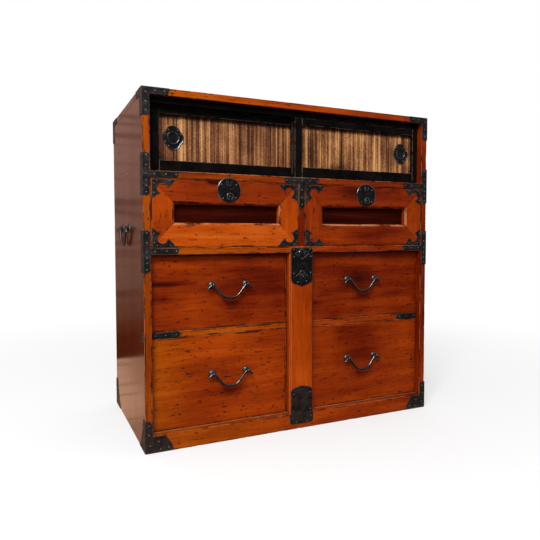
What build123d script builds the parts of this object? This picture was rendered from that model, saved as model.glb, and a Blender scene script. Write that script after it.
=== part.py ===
"""Isho clothing chest: a lacquered wooden carcass with sliding doors, six drawers and a lock bar.

Millimetres. +X is the chest's right as one faces it, the front is at -Y, +Z is up, and the
origin is the centre of the base on the floor.
"""
from build123d import *
import math
import os

os.makedirs("parts", exist_ok=True)

# ---------------------------------------------------------------- carcass sizes
WIDTH = 910.0
DEPTH = 470.0
SIDE_THICKNESS = 20.0
TOP_THICKNESS = 18.0
BACK_THICKNESS = 9.0
BACK_BOARDS = 5
BOTTOM_THICKNESS = 18.0
RAIL_THICKNESS = 20.0

# openings and shelves, from the floor up
BOTTOM_RAIL_HEIGHT = 46.0
BOTTOM_OPENING = 248.0
LOWER_SHELF = 17.0
MIDDLE_OPENING = 204.0
MIDDLE_SHELF = 18.0
UPPER_OPENING = 179.0
UPPER_SHELF = 19.0
DOOR_OPENING = 191.0

RECESS = 20.0  # doors and lower drawers lie this far behind the front edges
DIVIDER_THICKNESS = 20.0
STILE_HALF = 41.5  # half width of the fixed stile behind the lock bar
STILE_THICKNESS = 20.0
STILE_SETBACK = 2.5  # behind the faces of the lower drawers
RUNNER_WIDTH = 40.0
GUIDE_HEIGHT = 18.0

# ---------------------------------------------------------------- clearances
GLUE = 0.1  # glue line between boards of one piece
SEAT = 0.3  # a moving piece above or beside what carries it
REVEAL = 1.0  # round a drawer front
PLATE_GAP = 0.3  # behind an iron plate that also covers a fixed edge
IRON = 1.5  # thickness of the iron plates
NAIL_GAP = 0.05

# ---------------------------------------------------------------- doors
DOOR_THICKNESS = 15.0
DOOR_SPACING = 3.0  # between the two doors
DOOR_STILE = 24.0  # where the doors meet
DOOR_OUTER_STILE = {"right": 20.0, "left": 32.0}
DOOR_TOP_RAIL = 20.0
DOOR_BOTTOM_RAIL = 32.0
DOOR_PANEL = 4.0
DOOR_SIDE_GAP = 0.5
TONGUE = 8.0
TONGUE_GAP = 0.4
SILL_GROOVE = 3.2
HEAD_TRACK = 16.0
HEAD_GROOVE = 9.0
HEAD_LIFT = 4.0  # room above the upper tongue, so that a door lifts out
DOOR_SILL_GAP = 0.5
DOOR_HEAD_GAP = 1.0

PULL_RADIUS = 14.6
PULL_WALL = 1.4
PULL_RIM = 17.5
PULL_RIM_HEIGHT = 2.2
PULL_PROUD_BACK = 1.5  # how far the cup passes the back of its panel
PULL_FROM_STILE = 40.0  # centre of the cup from the edge of the outer stile
PULL_LOBE_HIGH = (12.0, 21.0)  # offset and radius of the upper and lower lobes
PULL_LOBE_WIDE = (9.0, 20.5)  # offset and radius of the side lobes
PULL_NAILS = [(21.5, 10.5), (12.5, 21.0)]  # either side of the notch between two lobes

# ---------------------------------------------------------------- drawers
FRAME_THICKNESS = 18.0
FRAME_STILE = 61.0  # width of the upright members, up to the window
FRAME_RAIL = 64.0
FRAME_BEVEL = 5.0
PANEL_THICKNESS = 6.0
FRONT_THICKNESS = 20.0
FRONT_EASE = 1.5
WALL = 10.0  # drawer sides and backs
FLOOR = 6.0  # drawer bottoms
BOX_DROP = 12.0  # drawer sides end this far below the opening's top
BOX_BACK_GAP = 10.0  # between a drawer's back and the back boards

DISC_RADIUS = 34.0
DISC_THICKNESS = 2.5
DISC_DROP = 25.0  # disc centre below the drawer opening's top
LOCK_CASE = (44.0, 10.0, 34.0)
LOCK_BOLT = (14.0, 6.0, 12.0)

# ---------------------------------------------------------------- bail handles
HANDLE_ABOVE_CENTRE = 17.0
# slope is in degrees, at the steepest part of the bail
DRAWER_BAIL = {"half_span": 50.0, "drop": 37.0, "slope": 52.0, "wire": 3.6, "stand_off": 14.0, "rose": 10.5}
SIDE_BAIL = {"half_span": 51.0, "drop": 47.0, "slope": 60.0, "wire": 4.5, "stand_off": 10.0, "rose": 15.0}
HOOK_RADIUS = 10.0
HOOK_TURN = 60.0
HOOK_TIP = 3.0
EYE_WALL = 3.0
EYE_CLEAR = 0.8
EYE_WIDTH = 4.5
SHANK_RADIUS = 3.2
ROSE_THICKNESS = 2.2
SIDE_HANDLE_HEIGHT = 585.0
SIDE_HANDLE_BACK = 12.0  # behind mid depth

# ---------------------------------------------------------------- lock bar
BAR_HALF = 38.0
BAR_THICKNESS = 17.0
BAR_CHAMFER = 4.5
BAR_PLATE_HALF = 35.0
BAR_PLATE_LAP = 14.0  # how far the lock plate laps the shelf above
BAR_PLATE_LENGTH = 112.0
BAR_PLATE_POINT = 16.0
FOOT_PLATE_HEIGHT = 80.0
FOOT_PLATE_SHOULDER = 14.0
KEEPER_HALF = 38.5
KEEPER_HEIGHT = 32.0
BAR_IRON = 2.0

# ---------------------------------------------------------------- corner irons and straps
IRON_ARM = 72.0
IRON_BAND = 19.0
IRON_SIDE_BAND = 24.0
IRON_SLANT = 5.0
FOOT_ARM = 76.0
FOOT_HEIGHT = 86.0
FOOT_LIFT = 1.0  # bottom irons end this far above the floor
STRAP_HALF = 54.5
STRAP_LEG = 94.0
STRAP_BAND = 16.0
STRAP_EDGE = 17.5
STRAP_SIDE = 26.0
CENTRE_STRAP_HALF = 58.0
CENTRE_TONGUE = 77.0
DRAWER_IRON = [(0, 0), (62, 0), (50, 14), (42.5, 20.5), (21, 37), (11, 42), (0, 51)]
DRAWER_IRON_BITE = (27.0, 22.5)  # centre of the round bite, from the iron's corner
DRAWER_IRON_BITE_RADIUS = 13.5
DRAWER_IRON_NAILS = [(13, 4), (5, 11.5), (47, 4), (5, 35)]
DRAWER_IRON_INSET = 1.5
RAIL_STRAP = 80.0
SIDE_CLEAT = (24.0, 26.0)
NAIL_RADIUS = 2.6
NAIL_HEIGHT = 1.3
NAIL_TAPER = 28.0

# ---------------------------------------------------------------- derived planes
FRONT = -DEPTH / 2
BACK = DEPTH / 2
OUT = WIDTH / 2
IN = OUT - SIDE_THICKNESS
BACK_FACE = BACK - BACK_THICKNESS
INSET = FRONT + RECESS
HALF_DIVIDER = DIVIDER_THICKNESS / 2
Z_BOTTOM = BOTTOM_RAIL_HEIGHT
Z_LOWER_SHELF = Z_BOTTOM + BOTTOM_OPENING
Z_MIDDLE = Z_LOWER_SHELF + LOWER_SHELF
Z_MIDDLE_SHELF = Z_MIDDLE + MIDDLE_OPENING
Z_UPPER = Z_MIDDLE_SHELF + MIDDLE_SHELF
Z_UPPER_SHELF = Z_UPPER + UPPER_OPENING
Z_DOORS = Z_UPPER_SHELF + UPPER_SHELF
Z_TOP = Z_DOORS + DOOR_OPENING
HEIGHT = Z_TOP + TOP_THICKNESS
STILE_FACE = INSET + STILE_SETBACK
STILE_BACK = STILE_FACE + STILE_THICKNESS
SIDES = {"left": -1, "right": 1}


# ---------------------------------------------------------------- helpers
def save(piece, name):
    """Label a finished piece and write its STEP file."""
    piece.part.label = name
    export_step(piece.part, f"parts/{name}.step")


def board(x, y, z, mode=Mode.ADD):
    """A board between two x, two y and two z values, in the piece that is being built."""
    with BuildSketch(Plane.XY.offset(min(z))) as outline:
        with Locations(((x[0] + x[1]) / 2, (y[0] + y[1]) / 2)):
            Rectangle(abs(x[1] - x[0]), abs(y[1] - y[0]))
    extrude(to_extrude=outline.sketch, amount=abs(z[1] - z[0]), mode=mode)


def front_plane(y, x=0.0, z=0.0):
    """A plane facing the front: local x to the right, local y up."""
    return Plane(origin=(x, y, z), x_dir=(1, 0, 0), z_dir=(0, -1, 0))


def side_plane(side, x, y=0.0, z=0.0):
    """A plane facing outwards on the chest's side: local x along the side, local y up."""
    return Plane(origin=(side * x, y, z), x_dir=(0, side, 0), z_dir=(side, 0, 0))


def plate(plane, points, thickness=IRON):
    """A sheet of iron with a straight-sided outline, lying on a plane."""
    with BuildSketch(plane) as outline:
        with BuildLine():
            Polyline(*points, close=True)
        make_face()
    extrude(to_extrude=outline.sketch, amount=thickness)


def nails(plane, points, lift=IRON, radius=NAIL_RADIUS):
    """Nail heads on a sheet of iron, as separate solids."""
    with BuildSketch(plane.offset(lift + NAIL_GAP)) as heads:
        with Locations(*points):
            Circle(radius)
    extrude(to_extrude=heads.sketch, amount=NAIL_HEIGHT, taper=NAIL_TAPER)


def both_sides(points):
    """The points and their mirror images across the plane's upright axis."""
    return [(way * a, b) for way in (-1, 1) for a, b in points]


def side_and_side(side, low, high):
    """The two x values of something that runs outwards from the middle on one side."""
    return (side * low, side * high)


# ---------------------------------------------------------------- carcass boards
for name, side in SIDES.items():
    with BuildPart() as carcass_side:
        board(side_and_side(side, IN, OUT), (FRONT, BACK), (0, Z_TOP))
    save(carcass_side, f"{name}_side")

with BuildPart() as bottom_board:
    board((-IN, IN), (FRONT + RAIL_THICKNESS, BACK_FACE), (Z_BOTTOM - BOTTOM_THICKNESS, Z_BOTTOM))
save(bottom_board, "bottom_board")

with BuildPart() as bottom_rail:
    board((-IN, IN), (FRONT, FRONT + RAIL_THICKNESS), (0, Z_BOTTOM))
save(bottom_rail, "bottom_rail")

with BuildPart() as base_runners:
    for centre in (-(IN - RUNNER_WIDTH), 0, IN - RUNNER_WIDTH):
        board(
            (centre - RUNNER_WIDTH / 2, centre + RUNNER_WIDTH / 2),
            (FRONT + RAIL_THICKNESS, BACK_FACE),
            (0, Z_BOTTOM - BOTTOM_THICKNESS),
        )
save(base_runners, "base_runners")

with BuildPart() as back_boards:
    pitch = 2 * IN / BACK_BOARDS
    for i in range(BACK_BOARDS):
        board((-IN + i * pitch + GLUE, -IN + (i + 1) * pitch - GLUE), (BACK_FACE, BACK), (0, Z_TOP))
save(back_boards, "back_boards")

with BuildPart() as middle_shelf:
    board((-IN, IN), (FRONT, BACK_FACE), (Z_MIDDLE_SHELF, Z_UPPER))
save(middle_shelf, "middle_shelf")

with BuildPart() as lower_shelves:
    for side in SIDES.values():
        board(side_and_side(side, STILE_HALF, IN), (INSET, BACK_FACE), (Z_LOWER_SHELF, Z_MIDDLE))
        board(side_and_side(side, HALF_DIVIDER, IN), (STILE_BACK, BACK_FACE), (Z_LOWER_SHELF, Z_MIDDLE))
save(lower_shelves, "lower_shelves")

with BuildPart() as upper_divider:
    board((-HALF_DIVIDER, HALF_DIVIDER), (FRONT, BACK_FACE), (Z_UPPER, Z_UPPER_SHELF))
save(upper_divider, "upper_divider")

with BuildPart() as lower_divider:
    board((-HALF_DIVIDER, HALF_DIVIDER), (STILE_BACK, BACK_FACE), (Z_BOTTOM, Z_MIDDLE_SHELF))
save(lower_divider, "lower_divider")

with BuildPart() as centre_stile:
    board((-STILE_HALF, STILE_HALF), (STILE_FACE, STILE_BACK), (Z_BOTTOM, Z_MIDDLE_SHELF))
save(centre_stile, "centre_stile")

with BuildPart() as drawer_guides:
    for side in SIDES.values():
        for floor in (Z_BOTTOM, Z_MIDDLE):
            board(
                side_and_side(side, HALF_DIVIDER, STILE_HALF + REVEAL),
                (STILE_BACK, BACK_FACE),
                (floor, floor + GUIDE_HEIGHT),
            )
save(drawer_guides, "drawer_guides")

# ---------------------------------------------------------------- door tracks
# each door runs on its own centre line, the right one in front
door_centre = {
    "right": INSET + DOOR_THICKNESS / 2,
    "left": INSET + 1.5 * DOOR_THICKNESS + DOOR_SPACING,
}
groove_half = TONGUE / 2 + TONGUE_GAP
Z_HEAD = Z_TOP - HEAD_TRACK
HEAD_SETBACK = 2.0

with BuildPart() as upper_shelf:
    board((-IN, IN), (FRONT, BACK_FACE), (Z_UPPER_SHELF, Z_DOORS))
    for y in door_centre.values():
        board((-IN, IN), (y - groove_half, y + groove_half), (Z_DOORS - SILL_GROOVE, Z_DOORS), Mode.SUBTRACT)
save(upper_shelf, "upper_shelf")

with BuildPart() as door_head_track:
    track_back = door_centre["left"] + DOOR_THICKNESS / 2 + DOOR_SPACING
    board((-IN, IN), (INSET - HEAD_SETBACK, track_back), (Z_HEAD, Z_TOP))
    for y in door_centre.values():
        board((-IN, IN), (y - groove_half, y + groove_half), (Z_HEAD, Z_HEAD + HEAD_GROOVE), Mode.SUBTRACT)
save(door_head_track, "door_head_track")

# ---------------------------------------------------------------- doors
door_low = Z_DOORS + DOOR_SILL_GAP
door_high = Z_HEAD - DOOR_HEAD_GAP
tongue_low = Z_DOORS - SILL_GROOVE + SEAT
tongue_high = Z_HEAD + HEAD_GROOVE - HEAD_LIFT
door_inner = DOOR_STILE / 2  # each door passes the middle by half a stile
door_outer = IN - DOOR_SIDE_GAP
panel_low = door_low + DOOR_BOTTOM_RAIL
panel_high = door_high - DOOR_TOP_RAIL
pull_z = (panel_low + panel_high) / 2

for name, side in SIDES.items():
    face = door_centre[name] - DOOR_THICKNESS / 2
    rear = face + DOOR_THICKNESS
    tongue_y = (door_centre[name] - TONGUE / 2, door_centre[name] + TONGUE / 2)
    panel_face = rear - DOOR_PANEL
    outer_stile = door_outer - DOOR_OUTER_STILE[name]
    pull_x = outer_stile - PULL_FROM_STILE
    stiles = [(-door_inner, door_inner), (outer_stile, door_outer)]
    between = (door_inner + GLUE, outer_stile - GLUE)

    with BuildPart() as door_frame:
        for low, high in stiles:
            x = side_and_side(side, low, high)
            board(x, (face, rear), (door_low, door_high))
            board(x, tongue_y, (tongue_low, tongue_high))
        x = side_and_side(side, *between)
        board(x, (face, rear), (door_low, panel_low))
        board(x, tongue_y, (tongue_low, door_low))
        board(x, (face, rear), (panel_high, door_high))
        board(x, tongue_y, (door_high, tongue_high))
    save(door_frame, f"{name}_door_frame")

    with BuildPart() as door_panel:
        board(x, (panel_face, rear), (panel_low + GLUE, panel_high - GLUE))
        with BuildSketch(front_plane(rear, side * pull_x, pull_z)) as pull_hole:
            Circle(PULL_RADIUS + SEAT)
        extrude(to_extrude=pull_hole.sketch, amount=DOOR_PANEL, mode=Mode.SUBTRACT)
    save(door_panel, f"{name}_door_panel")

    # a lobed flange with a round cup let into the panel
    cup_floor = panel_face + DOOR_PANEL + PULL_PROUD_BACK
    pull_plane = front_plane(panel_face, side * pull_x, pull_z)
    with BuildPart() as door_pull:
        with BuildSketch(pull_plane) as flange:
            with Locations((0, PULL_LOBE_HIGH[0]), (0, -PULL_LOBE_HIGH[0])):
                Circle(PULL_LOBE_HIGH[1])
            with Locations((PULL_LOBE_WIDE[0], 0), (-PULL_LOBE_WIDE[0], 0)):
                Circle(PULL_LOBE_WIDE[1])
        extrude(to_extrude=flange.sketch, amount=IRON)
        with BuildSketch(pull_plane) as rim:
            Circle(PULL_RIM)
        extrude(to_extrude=rim.sketch, amount=IRON + PULL_RIM_HEIGHT, taper=20)
        with BuildSketch(front_plane(cup_floor, side * pull_x, pull_z)) as cup:
            Circle(PULL_RADIUS)
        extrude(to_extrude=cup.sketch, amount=cup_floor - panel_face)
        with BuildSketch(front_plane(cup_floor - PULL_WALL, side * pull_x, pull_z)) as hollow:
            Circle(PULL_RADIUS - PULL_WALL)
        hollow_depth = cup_floor - PULL_WALL - panel_face + IRON + PULL_RIM_HEIGHT
        extrude(to_extrude=hollow.sketch, amount=hollow_depth, mode=Mode.SUBTRACT)
        for way in (-1, 1):
            nails(pull_plane, both_sides([(a, way * b) for a, b in PULL_NAILS]), radius=1.9)
    save(door_pull, f"{name}_door_pull")

# ---------------------------------------------------------------- top board and corner irons
top_iron_front = [
    (-IRON, 0),
    (IRON_ARM, 0),
    (IRON_ARM - IRON_SLANT, -TOP_THICKNESS),
    (IRON_BAND, -TOP_THICKNESS),
    (IRON_BAND, -IRON_ARM + IRON_SLANT),
    (IRON_BAND - IRON_SLANT, -IRON_ARM),
    (-IRON, -IRON_ARM),
]
top_iron_side = [
    (0, 0),
    (IRON_ARM, 0),
    (IRON_ARM - IRON_SLANT, -IRON_BAND),
    (IRON_SIDE_BAND, -IRON_BAND),
    (IRON_SIDE_BAND, -IRON_ARM + IRON_SLANT),
    (IRON_SIDE_BAND - IRON_SLANT, -IRON_ARM),
    (0, -IRON_ARM),
]
top_iron_lid = [
    (0, 0),
    (IRON_ARM, 0),
    (IRON_ARM - IRON_SLANT, IRON_SIDE_BAND),
    (IRON_SIDE_BAND, IRON_SIDE_BAND),
    (IRON_SIDE_BAND, IRON_ARM - IRON_SLANT),
    (0, IRON_ARM),
]


def corner_plane(z):
    """A level plane at the front left corner: local x to the right, local y to the back."""
    return Plane(origin=(-OUT, FRONT, z), x_dir=(1, 0, 0), z_dir=(0, 0, 1))


def left_plane(z):
    """The left side's outer face at the front edge: local x to the back, local y down."""
    return Plane(origin=(-OUT, FRONT, z), x_dir=(0, 1, 0), z_dir=(-1, 0, 0))


def flipped(points):
    """The same outline for a plane whose local y points down."""
    return [(a, -b) for a, b in points]


with BuildPart() as corner_irons_top:
    plate(front_plane(FRONT, -OUT, HEIGHT), top_iron_front)
    plate(left_plane(HEIGHT), flipped(top_iron_side))
    plate(corner_plane(HEIGHT - IRON), top_iron_lid)
    mirror(about=Plane.XZ)
    mirror(about=Plane.YZ)
save(corner_irons_top, "corner_irons_top")

with BuildPart() as top_board:
    board((-OUT, OUT), (FRONT, BACK), (Z_TOP, HEIGHT))
    add(corner_irons_top.part, mode=Mode.SUBTRACT)
save(top_board, "top_board")

foot_front = [
    (-IRON, FOOT_LIFT),
    (FOOT_ARM, FOOT_LIFT),
    (FOOT_ARM - 8, 22),
    (FOOT_ARM - 24, BOTTOM_RAIL_HEIGHT - 2),
    (IRON_BAND, BOTTOM_RAIL_HEIGHT - 2),
    (IRON_BAND, FOOT_HEIGHT - 12),
    (IRON_BAND - 7, FOOT_HEIGHT),
    (-IRON, FOOT_HEIGHT),
]
foot_side = [
    (0, FOOT_LIFT),
    (FOOT_ARM, FOOT_LIFT),
    (FOOT_ARM - 22, 20),
    (IRON_SIDE_BAND + 6, 58),
    (IRON_SIDE_BAND, FOOT_HEIGHT),
    (0, FOOT_HEIGHT),
]
with BuildPart() as corner_irons_bottom:
    plate(front_plane(FRONT, -OUT, 0), foot_front)
    plate(left_plane(0), flipped(foot_side))
    mirror(about=Plane.XZ)
    mirror(about=Plane.YZ)
save(corner_irons_bottom, "corner_irons_bottom")

# ---------------------------------------------------------------- straps
strap_front = [
    (-IRON, STRAP_HALF),
    (STRAP_EDGE - IRON_SLANT, STRAP_HALF),
    (STRAP_EDGE, STRAP_HALF - IRON_SLANT),
    (STRAP_EDGE, STRAP_BAND / 2),
    (STRAP_LEG, STRAP_BAND / 2),
    (STRAP_LEG - IRON_SLANT, -STRAP_BAND / 2),
    (STRAP_EDGE, -STRAP_BAND / 2),
    (STRAP_EDGE, -STRAP_HALF + IRON_SLANT),
    (STRAP_EDGE - IRON_SLANT, -STRAP_HALF),
    (-IRON, -STRAP_HALF),
]
strap_side = [
    (0, STRAP_HALF),
    (STRAP_SIDE - IRON_SLANT, STRAP_HALF),
    (STRAP_SIDE, STRAP_HALF - IRON_SLANT),
    (STRAP_SIDE, -STRAP_HALF + IRON_SLANT),
    (STRAP_SIDE - IRON_SLANT, -STRAP_HALF),
    (0, -STRAP_HALF),
]
tongue_half = HALF_DIVIDER - 1.5
centre_strap = [
    (CENTRE_STRAP_HALF, STRAP_BAND / 2),
    (CENTRE_STRAP_HALF - IRON_SLANT, -STRAP_BAND / 2),
    (tongue_half, -STRAP_BAND / 2),
    (tongue_half, -CENTRE_TONGUE + IRON_SLANT),
    (tongue_half - IRON_SLANT, -CENTRE_TONGUE),
]
centre_strap += [(-a, b) for a, b in reversed(centre_strap)]
z_upper_strap = Z_UPPER_SHELF + UPPER_SHELF / 2
z_middle_strap = Z_MIDDLE_SHELF + MIDDLE_SHELF / 2
z_lower_strap = Z_LOWER_SHELF + LOWER_SHELF / 2
rail_strap_half = LOWER_SHELF / 2 - SEAT
rail_strap = [
    (GLUE, rail_strap_half),
    (RAIL_STRAP - IRON_SLANT, rail_strap_half),
    (RAIL_STRAP, rail_strap_half - IRON_SLANT),
    (RAIL_STRAP, -rail_strap_half + IRON_SLANT),
    (RAIL_STRAP - IRON_SLANT, -rail_strap_half),
    (GLUE, -rail_strap_half),
]
cleat_edge = 2.0
cleat = [
    (cleat_edge, SIDE_CLEAT[1] / 2),
    (cleat_edge + SIDE_CLEAT[0], SIDE_CLEAT[1] / 2),
    (cleat_edge + SIDE_CLEAT[0], -SIDE_CLEAT[1] / 2),
    (cleat_edge, -SIDE_CLEAT[1] / 2),
]

with BuildPart() as shelf_straps:
    for z in (z_upper_strap, z_middle_strap):
        plate(front_plane(FRONT, -OUT, z), strap_front)
        plate(left_plane(z), flipped(strap_side))
    mirror(about=Plane.YZ)
save(shelf_straps, "shelf_straps")

with BuildPart() as centre_strap_iron:
    plate(front_plane(FRONT, 0, z_upper_strap), centre_strap)
save(centre_strap_iron, "centre_strap")

with BuildPart() as rail_straps:
    plate(front_plane(INSET, -IN, z_lower_strap), rail_strap)
    plate(left_plane(z_lower_strap), flipped(cleat))
    mirror(about=Plane.YZ)
save(rail_straps, "rail_straps")

# ---------------------------------------------------------------- nails in the fixed irons
iron_row = [(IRON_BAND / 2, -14), (IRON_BAND / 2, -38), (IRON_BAND / 2, -60), (34, -9), (58, -9)]
foot_row = [(9, 74), (9, 50), (12, 22), (34, 30), (38, 10), (60, 12)]
strap_row = [(9, 47), (9, 20), (4, 3), (14, 3), (9, -4), (9, -20), (9, -42), (30, 1), (60, 0), (86, 1)]
centre_row = [(-50, 0), (-26, 0), (0, 0), (26, 0), (50, 0), (0, -26), (0, -48), (0, -68)]
rail_row = [(12, 0), (40, 0), (68, 0)]
side_row = [(12, -60), (12, -36), (12, -12), (36, -10), (58, -10)]
foot_side_row = [(12, 72), (14, 44), (16, 16), (40, 14)]
strap_side_row = [(14, -44), (14, -15), (14, 15), (14, 44)]
with BuildPart() as carcass_nails:
    nails(front_plane(FRONT, -OUT, HEIGHT), iron_row)
    nails(front_plane(FRONT, -OUT, 0), foot_row)
    nails(left_plane(HEIGHT), flipped(side_row))
    nails(left_plane(0), flipped(foot_side_row))
    mirror(about=Plane.XZ)
    for z in (z_upper_strap, z_middle_strap):
        nails(front_plane(FRONT, -OUT, z), strap_row)
        nails(left_plane(z), strap_side_row)
    nails(front_plane(INSET, -IN, z_lower_strap), rail_row)
    nails(left_plane(z_lower_strap), [(cleat_edge + SIDE_CLEAT[0] / 2, 0)])
    mirror(about=Plane.YZ)
    nails(front_plane(FRONT, 0, z_upper_strap), centre_row)
save(carcass_nails, "carcass_nails")


# ---------------------------------------------------------------- bail handles
def bail(plane, size):
    """A bail hanging from its two hooks, in the piece that is being built.

    A loop arc, a straight and a hook arc meet tangentially, and the hook's top stands
    half_span out and drop up from the middle of the loop.
    """
    half_span, drop, slope = size["half_span"], size["drop"], size["slope"]
    s = math.sin(math.radians(slope))
    c = math.cos(math.radians(slope))
    straight = (drop * s - half_span * (1 - c)) / (1 - c)
    loop = (half_span - straight * c) / s - HOOK_RADIUS
    with BuildLine(plane) as path:
        bow = JernArc((0, -drop), (1, 0), loop, slope)
        arm = PolarLine(bow @ 1, straight, slope)
        hook = JernArc(arm @ 1, arm % 1, HOOK_RADIUS, -slope - HOOK_TURN)
        PolarLine(hook @ 1, HOOK_TIP, -HOOK_TURN)
    start = plane.from_local_coords(Vector(0, -drop, 0))
    with BuildSketch(Plane(origin=start, z_dir=plane.x_dir)) as section:
        Circle(size["wire"])
    sweep(sections=section.sketch, path=path.line)
    mirror(about=Plane(origin=plane.origin, z_dir=plane.x_dir))


def handle_posts(base, size):
    """Two roses, each with a shank and an eye for the bail, in the piece that is being built."""
    hole = size["wire"] + EYE_CLEAR
    eye = hole + EYE_WALL
    stand_off = size["stand_off"]
    for along in (-size["half_span"], size["half_span"]):
        origin = base.from_local_coords(Vector(along, 0, 0))
        foot = Plane(origin=origin, x_dir=base.x_dir, z_dir=base.z_dir)
        with BuildSketch(foot) as rose_outline:
            Circle(size["rose"])
        extrude(to_extrude=rose_outline.sketch, amount=ROSE_THICKNESS, taper=35)
        with BuildSketch(foot) as shank:
            Circle(SHANK_RADIUS)
        extrude(to_extrude=shank.sketch, amount=stand_off - (hole + eye) / 2)
        centre = foot.from_local_coords(Vector(-EYE_WIDTH / 2, 0, stand_off))
        with BuildSketch(Plane(origin=centre, z_dir=base.x_dir)) as eye_ring:
            Circle(eye)
            Circle(hole, mode=Mode.SUBTRACT)
        extrude(to_extrude=eye_ring.sketch, amount=EYE_WIDTH)


with BuildPart() as side_handle_posts:
    for side in SIDES.values():
        handle_posts(side_plane(side, OUT, SIDE_HANDLE_BACK, SIDE_HANDLE_HEIGHT), SIDE_BAIL)
save(side_handle_posts, "side_handle_posts")

for name, side in SIDES.items():
    with BuildPart() as side_bail:
        hinge_x = OUT + SIDE_BAIL["stand_off"]
        bail(side_plane(side, hinge_x, SIDE_HANDLE_BACK, SIDE_HANDLE_HEIGHT), SIDE_BAIL)
    save(side_bail, f"{name}_side_bail")


# ---------------------------------------------------------------- drawers
def drawer_box(side, inner, outer, floor, opening, front_back):
    """Sides, back and bottom of a drawer as separate boards, in the piece that is being built."""
    low, high = floor + SEAT, floor + opening - BOX_DROP
    rear = BACK_FACE - BOX_BACK_GAP
    start = front_back + GLUE
    inside = (inner + WALL + GLUE, outer - WALL - GLUE)
    board(side_and_side(side, inner, inner + WALL), (start, rear), (low, high))
    board(side_and_side(side, outer - WALL, outer), (start, rear), (low, high))
    board(side_and_side(side, *inside), (rear - WALL, rear), (low, high))
    board(side_and_side(side, *inside), (start, rear - WALL - GLUE), (low, low + FLOOR))


def mitred_frame(x, z):
    """Four mitred frame members with a bevelled window, as separate solids."""
    outer = [(x[0], z[0]), (x[1], z[0]), (x[1], z[1]), (x[0], z[1])]
    inner = [
        (x[0] + FRAME_STILE, z[0] + FRAME_RAIL),
        (x[1] - FRAME_STILE, z[0] + FRAME_RAIL),
        (x[1] - FRAME_STILE, z[1] - FRAME_RAIL),
        (x[0] + FRAME_STILE, z[1] - FRAME_RAIL),
    ]
    middle = ((x[0] + x[1]) / 2, (z[0] + z[1]) / 2)
    window = (x[1] - x[0] - 2 * FRAME_STILE, z[1] - z[0] - 2 * FRAME_RAIL)
    for i in range(4):
        j = (i + 1) % 4
        with BuildSketch(front_plane(FRONT + FRAME_THICKNESS)) as outline:
            with BuildLine():
                Polyline(outer[i], outer[j], inner[j], inner[i], close=True)
            make_face()
            offset(amount=-GLUE, kind=Kind.INTERSECTION)
        extrude(to_extrude=outline.sketch, amount=FRAME_THICKNESS)
    with BuildSketch(front_plane(FRONT + FRAME_BEVEL, *middle)) as bevel_low:
        Rectangle(*window)
    with BuildSketch(front_plane(FRONT, *middle)) as bevel_high:
        Rectangle(window[0] + 2 * FRAME_BEVEL, window[1] + 2 * FRAME_BEVEL)
    loft(sections=[bevel_low.sketch.face(), bevel_high.sketch.face()], mode=Mode.SUBTRACT)


def drawer_iron(corner, towards):
    """A drawer's corner iron: two arms along the edges, a round bite between two cusps, and nails."""

    def place(points):
        return [(corner[0] + towards[0] * a, corner[1] + towards[1] * b) for a, b in points]

    with BuildSketch(front_plane(FRONT)) as outline:
        with BuildLine():
            Polyline(*place(DRAWER_IRON), close=True)
        make_face()
        with Locations(*place([DRAWER_IRON_BITE])):
            Circle(DRAWER_IRON_BITE_RADIUS, mode=Mode.SUBTRACT)
    extrude(to_extrude=outline.sketch, amount=IRON)
    nails(front_plane(FRONT), place(DRAWER_IRON_NAILS), radius=2.2)


upper_low, upper_high = Z_UPPER + REVEAL, Z_UPPER_SHELF - REVEAL
upper_inner, upper_outer = HALF_DIVIDER + REVEAL, IN - REVEAL
disc_x = (upper_inner + upper_outer) / 2
disc_z = Z_UPPER_SHELF - DISC_DROP
frame_back = FRONT + FRAME_THICKNESS
panel_back = frame_back + GLUE + PANEL_THICKNESS

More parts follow.
